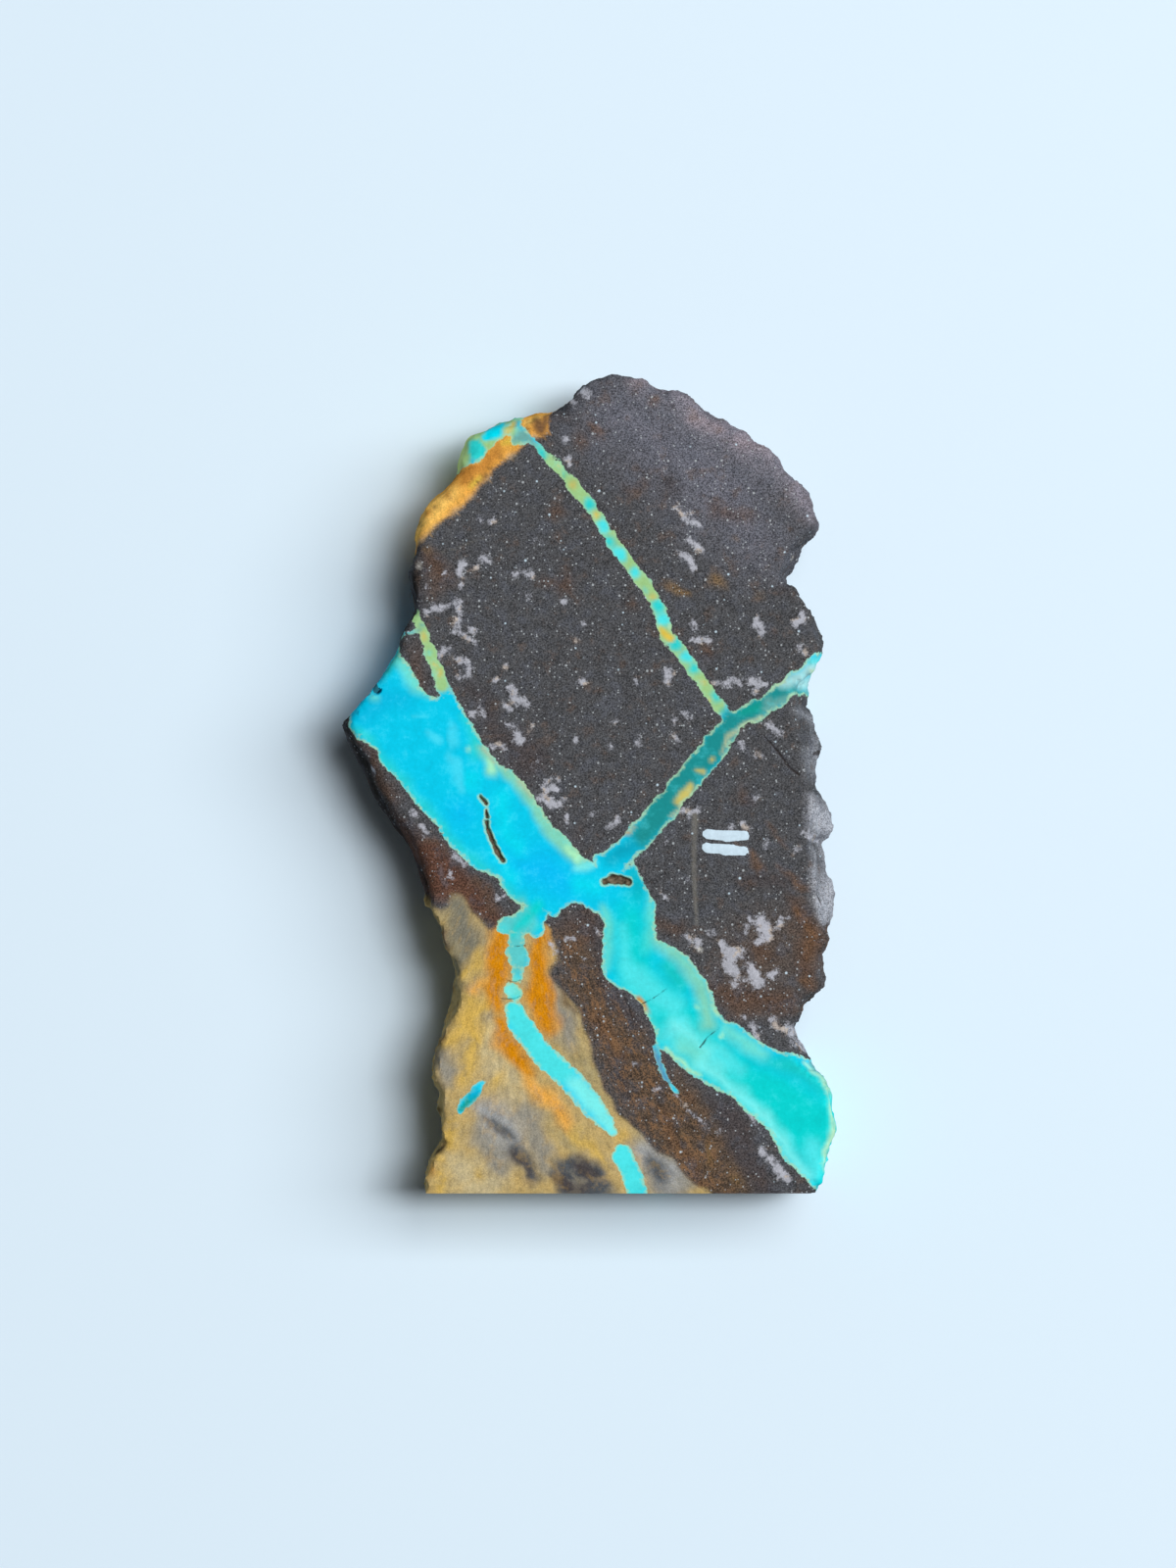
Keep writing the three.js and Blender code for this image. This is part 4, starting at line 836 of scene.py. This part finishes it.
class SLAB_OT_stone(bpy.types.Operator):
    """Models the stone's fine surface on a copy of the solid"""

    bl_idname = "slab.stone"
    bl_label = "Shape the stone"

    def execute(self, context):
        settings = context.scene.slab_settings
        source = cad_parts[NODE]
        stone = bpy.data.objects.new("vein_slab", source.data.copy())
        context.scene.collection.objects.link(stone)
        make_active(stone)
        bpy.ops.object.mode_set(mode="EDIT")
        bpy.ops.mesh.select_all(action="SELECT")
        bpy.ops.mesh.remove_doubles(threshold=0.002 * MM)
        bpy.ops.object.mode_set(mode="OBJECT")
        self.fill_pockets(stone)
        add_modifier(stone, "Even mesh", "REMESH", mode="VOXEL", voxel_size=settings.voxel)
        self.break_sides(stone, (("planes", "VORONOI", 3.4, 1.0, 0.35), ("lumps", "CLOUDS", 1.5, 0.8, 0.5)))
        self.halve_faces(stone, self.broken)
        self.break_sides(stone, (("chips", "VORONOI", 1.1, 0.4, 0.3), ("grain", "CLOUDS", 0.5, 0.35, 0.5)))
        self.flatten_cuts(stone)
        self.clear_slivers(stone)
        self.halve_faces(stone, lambda middles, normals: on_face(middles) & near_pattern(middles))
        for reach in (0.5, 0.3):
            self.halve_faces(stone, lambda middles, normals, reach=reach: (
                on_face(middles) & (chains_distance(middles[:, :2], POCKETS + CRACKS + HOLES) > -reach)
            ))
        self.clear_slivers(stone)
        self.sink_pockets(stone, settings)
        make_active(stone)
        bpy.ops.object.shade_smooth_by_angle(angle=math.radians(50))
        return {"FINISHED"}

    def select_faces(self, stone, chosen):
        """Selects the faces that are chosen by middle and normal, and goes into edit mode."""
        deselect_mesh(stone)
        faces = stone.data.polygons
        middles, normals = np.empty(len(faces) * 3), np.empty(len(faces) * 3)
        faces.foreach_get("center", middles)
        faces.foreach_get("normal", normals)
        faces.foreach_set("select", chosen(middles.reshape(-1, 3) / MM, normals.reshape(-1, 3)))
        bpy.ops.object.mode_set(mode="EDIT")

    def fill_pockets(self, stone):
        """Closes the solid's plain pockets, which are sunk again in finer detail."""
        def in_pocket(middles, normals):
            near = chains_distance(middles[:, :2], POCKETS) > -0.9
            return near & (middles[:, 2] < TOP_MM - 0.01) & (middles[:, 2] > TOP_MM / 2)
        self.select_faces(stone, in_pocket)
        bpy.ops.mesh.delete(type="FACE")
        bpy.ops.mesh.select_all(action="SELECT")
        bpy.ops.mesh.fill_holes(sides=0)
        bpy.ops.object.mode_set(mode="OBJECT")

    def halve_faces(self, stone, chosen):
        self.select_faces(stone, chosen)
        bpy.ops.mesh.subdivide(number_cuts=1)
        bpy.ops.object.mode_set(mode="OBJECT")

    def broken(self, middles, normals):
        """The faces of the broken sides, away from the sawn face, back and end."""
        return (np.abs(normals[:, 2]) < 0.8) & (middles[:, 1] > LOW.y / MM + 0.35)

    def sink_pockets(self, stone, settings):
        """Presses the pockets and the cracks into the face, and lifts the paint a hair."""
        places = vertex_places(stone.data)
        top = places[:, 2] > HIGH.z - 0.01 * MM
        spots = places[top, :2] / MM
        rough = np.array([noise.noise(Vector((x, y, 0)) * 1.6) for x, y in spots])
        pocket = chains_distance(spots, POCKETS) + rough * 0.1
        hole = chains_distance(spots, HOLES) + rough * 0.1
        drop = settings.pocket_depth * soft_mask(pocket, 0.14) * (1 + 0.5 * rough)
        drop += 1.6 * MM * soft_mask(hole, 0.25)
        drop += 0.12 * MM * soft_mask(chains_distance(spots, CRACKS), 0.06)
        drop -= 0.03 * MM * soft_mask(chains_distance(spots, STROKES), 0.05)
        places[top, 2] -= drop
        set_places(stone.data, places)

    def side_weights(self, stone):
        """1 on the broken sides and 0 on the sawn face, the sawn back and the end cut."""
        places = vertex_places(stone.data) / MM
        normals = vertex_normals(stone.data)
        slope = 1 - soft_mask(np.abs(normals[:, 2]) - 0.8, 0.15)
        end_cut = soft_mask(places[:, 1] - (LOW.y / MM + 0.35), 0.15)
        worn = soft_mask(-8 - places[:, 0], 2.0) * soft_mask(places[:, 1] + 11, 2.0)
        return slope * end_cut * (1 - 0.6 * worn)

    def break_sides(self, stone, layers):
        """Displaces the broken sides by layers: name, kind, size, share of the depth, middle."""
        depth = bpy.context.scene.slab_settings.break_depth
        stone.vertex_groups.clear()
        set_group(stone, "broken", self.side_weights(stone))
        for name, kind, size_mm, share, middle in layers:
            add_modifier(
                stone, name, "DISPLACE", texture=break_texture(name, kind, size_mm),
                texture_coords="LOCAL", direction="NORMAL", strength=depth * share,
                mid_level=middle, vertex_group="broken",
            )

    def flatten_cuts(self, stone):
        """Brings the sawn surfaces back to true planes."""
        places = vertex_places(stone.data)
        near = 0.3 * MM
        places[:, 2] = np.where(HIGH.z - places[:, 2] < near * 0.4, HIGH.z, places[:, 2])
        places[:, 2] = np.where(places[:, 2] - LOW.z < near, LOW.z, places[:, 2])
        places[:, 1] = np.where(places[:, 1] - LOW.y < near, LOW.y, places[:, 1])
        set_places(stone.data, places)

    def clear_slivers(self, stone):
        """Merges points that meet, and cuts the faces into clean triangles while they are flat."""
        make_active(stone)
        bpy.ops.object.mode_set(mode="EDIT")
        bpy.ops.mesh.select_all(action="SELECT")
        bpy.ops.mesh.remove_doubles(threshold=SLIVER)
        bpy.ops.mesh.dissolve_degenerate(threshold=SLIVER)
        bpy.ops.mesh.quads_convert_to_tris(ngon_method="BEAUTY")
        bpy.ops.object.mode_set(mode="OBJECT")


class SLAB_OT_pattern(bpy.types.Operator):
    """Measures the veins, crusts and crystals at every point of the stone"""

    bl_idname = "slab.pattern"
    bl_label = "Lay the pattern in the stone"

    def execute(self, context):
        mesh = bpy.data.objects["vein_slab"].data
        places = vertex_places(mesh) / MM
        normals = vertex_normals(mesh)
        depth = TOP_MM - places[:, 2]
        drift = np.array([noise.noise_vector(Vector(place) / 4.0)[:2] for place in places])
        spots = places[:, :2] - depth[:, None] * np.array([VEIN_SLANT])
        at_end = soft_mask(LOW.y / MM + 2 - places[:, 1], 2.0)
        spots += END_DRIFT * (at_end * np.interp(depth, DRIFT_DEPTHS, (0, 1)))[:, None] * drift
        thin = chains_distance(wandered(spots, 1.0, 0.22), [THIN_VEIN, SMALL_VEIN, SMALL_TWIG])
        veins = (
            inside_distance(spots, MAIN_VEIN), chain_distance(wandered(spots, 1.5, 0.4), BRANCH_VEIN), thin,
            chains_distance(spots, STRAND), chains_distance(spots, [CHIP, BLUE_TWIG]),
            inside_distance(spots, CAP_CRUST),
        )
        near = wandered(spots, 1.3, 0.35)
        ground = inside_distance(wandered(spots, 2.0, 0.6), GROUND)
        band = inside_distance(wandered(spots, 1.2, 0.4), BAND_CRUST)
        tints = laid_strokes(wandered(near, 3.2, 1.2), "rock", ROCK_TINTS)
        for field, softness, colours in (
            (ground, 0.25, laid_strokes(wandered(near, 2.6, 0.9), "ochre", GROUND_TINTS)),
            (band, 0.2, laid_strokes(near, "amber", BAND_TINTS)),
        ):
            tints += soft_mask(field, softness)[:, None] * (colours - tints)
        wall = 1 - soft_mask(np.abs(normals[:, 2]) - 0.7, 0.25)
        for name, field in {
            "vein": np.max(veins, axis=0),
            "rim": 1 - 0.85 * soft_mask(np.maximum(thin, veins[4]), 0.3),
            "vein_tint": laid_strokes(near, "turquoise", VEIN_TINTS),
            "rock_tint": tints,
            "smooth": soft_mask(np.maximum(ground, band), 0.4),
            "streaks": soft_mask(np.maximum(ground, chain_distance(near, STREAKED)), 1.5),
            "crystals": chains_distance(spots, CRYSTALS),
            "pockets": chains_distance(places[:, :2], POCKETS) - depth * 0.05,
            "cracks": chains_distance(places[:, :2], CRACKS + HOLES),
            "scratches": chains_distance(places[:, :2], SCRATCHES) - depth,
            "paint": chains_distance(places[:, :2], STROKES) - depth * 10,
            "wall": wall * soft_mask(places[:, 1] - (LOW.y / MM + 0.2), 0.1),
        }.items():
            set_attribute(mesh, name, field)
        return {"FINISHED"}


class SLAB_OT_finish(bpy.types.Operator):
    """Makes the stone's surface: rock, turquoise, crusts and crystals"""

    bl_idname = "slab.finish"
    bl_label = "Finish the stone"

    def execute(self, context):
        stone = bpy.data.objects["vein_slab"]
        stone.data.materials.clear()
        stone.data.materials.append(stone_material(context.scene.slab_settings))
        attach(stone, BODY)
        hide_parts(NODE)
        return {"FINISHED"}


def stone_material(colours):
    g = Graph("Turquoise slab")
    surface, relief = rock_layer(g, colours)
    surface, veined = vein_layer(g, colours, surface)
    surface = detail_layer(g, colours, surface)
    rough = g.add(g.times(veined, -0.12), g.add(0.62, g.times(g.attribute("wall"), 0.25)))
    height = g.times(relief, g.add(1.0, g.times(veined, -0.85)))
    normal = g.bump(height, 0.05, strength=0.5)
    return g.finish(surface, rough, normal, specular=0.03)


def waver(g, size_mm, reach_mm, shift=0.0):
    """Noise that moves an edge in and out by up to about reach_mm."""
    return g.times(g.add(g.noise(size_mm, detail=4, roughness=0.6, shift=shift), -0.5), 5 * reach_mm)


def speckle(g, surface, colour, size_mm, radius, rarity):
    """Small round grains: radius is a share of their spacing, rarity a share of the places."""
    grains = g.cells(size_mm)
    chance = g.channel(grains.outputs["Color"], 0)
    size = g.times(g.channel(grains.outputs["Color"], 1), radius)
    inside = g.step(g.add(grains.outputs["Distance"], g.times(size, -1.0)), 0.08, -0.02)
    share = g.times(g.times(inside, g.step(chance, rarity - 0.02, rarity + 0.02)), 0.85)
    return g.mix(share, surface, colour)


def rock_layer(g, colours):
    """Dark rock full of fine grains, and the smoother fibrous ground. Also gives the relief."""
    tint = g.attribute("rock_tint", "Color")
    streaks = g.attribute("streaks")
    grain = g.noise(0.16, detail=2, roughness=0.75)
    lumps = g.noise(0.9, detail=3, roughness=0.6, shift=0.011)
    stains = g.noise(1.5, detail=5, roughness=0.6, shift=0.02)
    fibres = g.noise(0.5, detail=5, roughness=0.75, place=g.fanned(FAN_MIDDLE, 24.0, 0.35))
    rock = g.mix(g.times(g.step(stains, 0.55, 0.7), 0.4), tint, tuple(colours.stain))
    rock = g.mix(g.times(g.step(stains, 0.5, 0.34), 0.4), rock, tuple(colours.bluish))
    rock = g.shade(rock, g.add(g.times(lumps, 0.7), g.times(g.step(grain, 0.3, 0.72), 1.35)))
    rusty = g.times(streaks, g.step(g.add(fibres, g.times(g.add(grain, -0.5), 0.5)), 0.48, 0.66))
    rock = g.mix(g.times(rusty, 0.9), rock, tuple(colours.fibre))
    rock = g.mix(g.times(g.times(streaks, g.step(fibres, 0.44, 0.34)), 0.7), rock, tuple(colours.crack))
    # Pale grains and painted glints: the rock's sparkle drawn as bright specks.
    rock = speckle(g, rock, tuple(colours.pale_grain_and_glint), 0.26, 0.32, 0.81)
    rock = speckle(g, rock, tuple(colours.pale_grain_and_glint), 0.55, 0.2, 0.74)
    rock = speckle(g, rock, tuple(colours.paint), 1.2, 0.08, 0.58)

    patches = g.noise(1.1, detail=4, roughness=0.65, place=g.fanned(FAN_MIDDLE, 24.0, 0.6))
    soft = g.mix(g.times(g.step(patches, 0.5, 0.66), 0.22), tint, tuple(colours.golden))
    dull = g.times(g.step(patches, 0.5, 0.36), 0.3)
    soft = g.mix(g.times(dull, streaks), soft, tuple(colours.greyish))
    soft = g.shade(soft, g.add(g.add(-0.28, g.times(fibres, 1.4)), g.times(grain, 1.16)))
    surface = g.mix(g.attribute("smooth"), rock, soft)

    blotch = g.add(g.attribute("crystals"), waver(g, 0.6, 0.36))
    blotch = g.add(blotch, g.times(g.add(grain, -0.5), 0.5))
    warm = g.step(stains, 0.55, 0.62)
    pale = g.mix(warm, tuple(colours.crystal_cool), tuple(colours.crystal_warm))
    pale = g.shade(pale, g.add(g.times(lumps, 0.7), g.add(0.2, grain)))
    surface = g.mix(g.times(g.step(blotch, -0.2, 0.34), 0.9), surface, pale)
    return surface, g.add(g.times(grain, 0.5), g.times(lumps, 0.5))


def vein_layer(g, colours, surface):
    """The turquoise and its thin pale rim. Also gives where it shows."""
    clouds = g.noise(1.8, detail=5, roughness=0.62, shift=0.004)
    flakes = g.noise(0.4, detail=4, roughness=0.7, shift=0.031)
    body = g.shade(g.attribute("vein_tint", "Color"), g.add(g.add(0.62, g.times(clouds, 0.42)), g.times(flakes, 0.34)))
    pale = g.step(g.add(clouds, g.times(g.add(flakes, -0.5), 0.4)), 0.5, 0.76)
    body = g.mix(g.times(pale, 0.25), body, tuple(colours.flake))
    distance = g.add(g.attribute("vein"), waver(g, 0.7, 0.18))
    rim = g.step(g.add(distance, waver(g, 0.6, 0.2, 0.017)), 0.4, -0.05)
    rim = g.times(rim, g.times(g.attribute("rim"), 0.8))
    share = g.step(distance, -0.06, 0.07)
    return g.mix(share, surface, g.mix(rim, body, tuple(colours.rim))), share


def detail_layer(g, colours, surface):
    """Pockets with pale lips, dark cracks, scratches and the two strokes of paint."""
    fine = g.noise(0.5, detail=4, roughness=0.65, shift=0.006)
    uneven = g.times(g.add(fine, -0.5), 0.5)
    pocket = g.add(g.attribute("pockets"), uneven)
    surface = g.mix(g.times(g.step(pocket, -0.34, -0.1), 0.7), surface, tuple(colours.rim))
    inside = g.shade(tuple(colours.pocket), g.add(-1.0, g.times(fine, 4.0)))
    surface = g.mix(g.step(pocket, -0.1, 0.02), surface, inside)
    crack = g.add(g.attribute("cracks"), g.times(uneven, 0.4))
    surface = g.mix(g.times(g.step(crack, -0.05, 0.04), 0.75), surface, tuple(colours.crack))
    scratch = g.add(g.attribute("scratches"), uneven)
    surface = g.mix(g.times(g.step(scratch, -0.2, 0.4), 0.6), surface, tuple(colours.scratch))
    paint = g.add(g.attribute("paint"), g.times(uneven, 0.6))
    white = g.shade(tuple(colours.paint), g.add(0.75, g.times(fine, 0.5)))
    return g.mix(g.step(paint, -0.05, 0.08), surface, white)


# ---------------------------------------------------------------- the stage

class SLAB_OT_stage(bpy.types.Operator):
    """Lays the floor and sets the light and the camera"""

    bl_idname = "slab.stage"
    bl_label = "Set the stage"

    def execute(self, context):
        settings = context.scene.stage_settings
        deselect_all()
        bpy.ops.mesh.primitive_plane_add(size=settings.floor_size, location=(0, 0, LOW.z))
        floor = context.active_object
        floor.name = "floor"
        g = Graph("Pale floor")
        floor.data.materials.append(g.finish(tuple(settings.floor), 0.9, specular=0.1))
        self.light(context)
        self.camera(context, settings)
        context.scene.view_settings.view_transform = "Standard"
        return {"FINISHED"}

    def light(self, context):
        for name, left, width, depth, watts in (
            ("broad panel", 0.3, 4.0, 1.5, 127.0), ("near panel", 0.5, 1.0, 0.5, 32.0),
        ):
            data = bpy.data.lights.new(name, "AREA")
            data.shape = "RECTANGLE"
            data.size, data.size_y = width, depth
            data.energy = watts
            lamp = bpy.data.objects.new(name, data)
            lamp.location = (left + width / 2, depth / 2, LAMP_HEIGHT)
            context.scene.collection.objects.link(lamp)
        world = bpy.data.worlds.new("Pale surroundings")
        world.use_nodes = True
        background = world.node_tree.nodes["Background"]
        background.inputs["Color"].default_value = (1.0, 1.0, 1.0, 1.0)
        background.inputs["Strength"].default_value = 0.06
        context.scene.world = world

    def camera(self, context, settings):
        data = bpy.data.cameras.new("camera")
        data.lens = settings.lens
        data.sensor_width = SENSOR
        data.clip_start = 0.01
        camera = bpy.data.objects.new("camera", data)
        middle = (LOW + HIGH) / 2
        distance = settings.view_height * settings.lens / SENSOR
        camera.location = (middle.x, middle.y, HIGH.z + distance)
        context.scene.collection.objects.link(camera)
        context.scene.camera = camera


class SLAB_PT_panel(bpy.types.Panel):
    """Lists the steps and the settings"""

    bl_idname = "SLAB_PT_panel"
    bl_label = "Turquoise slab"
    bl_space_type = "VIEW_3D"
    bl_region_type = "UI"
    bl_category = "Slab"

    def draw(self, context):
        for step in STEPS:
            self.layout.operator(step.bl_idname)
        for group in (context.scene.slab_settings, context.scene.stage_settings):
            for name in group.__annotations__:
                self.layout.prop(group, name)


STEPS = (SLAB_OT_stone, SLAB_OT_pattern, SLAB_OT_finish, SLAB_OT_stage)
CLASSES = (SlabSettings, StageSettings) + STEPS + (SLAB_PT_panel,)


def register():
    for item in CLASSES:
        bpy.utils.register_class(item)
    bpy.types.Scene.slab_settings = PointerProperty(type=SlabSettings)
    bpy.types.Scene.stage_settings = PointerProperty(type=StageSettings)


def unregister():
    del bpy.types.Scene.slab_settings
    del bpy.types.Scene.stage_settings
    for item in reversed(CLASSES):
        bpy.utils.unregister_class(item)


def main():
    register()
    bpy.ops.slab.stone()
    bpy.ops.slab.pattern()
    bpy.ops.slab.finish()
    bpy.ops.slab.stage()


if __name__ == "__main__":
    main()
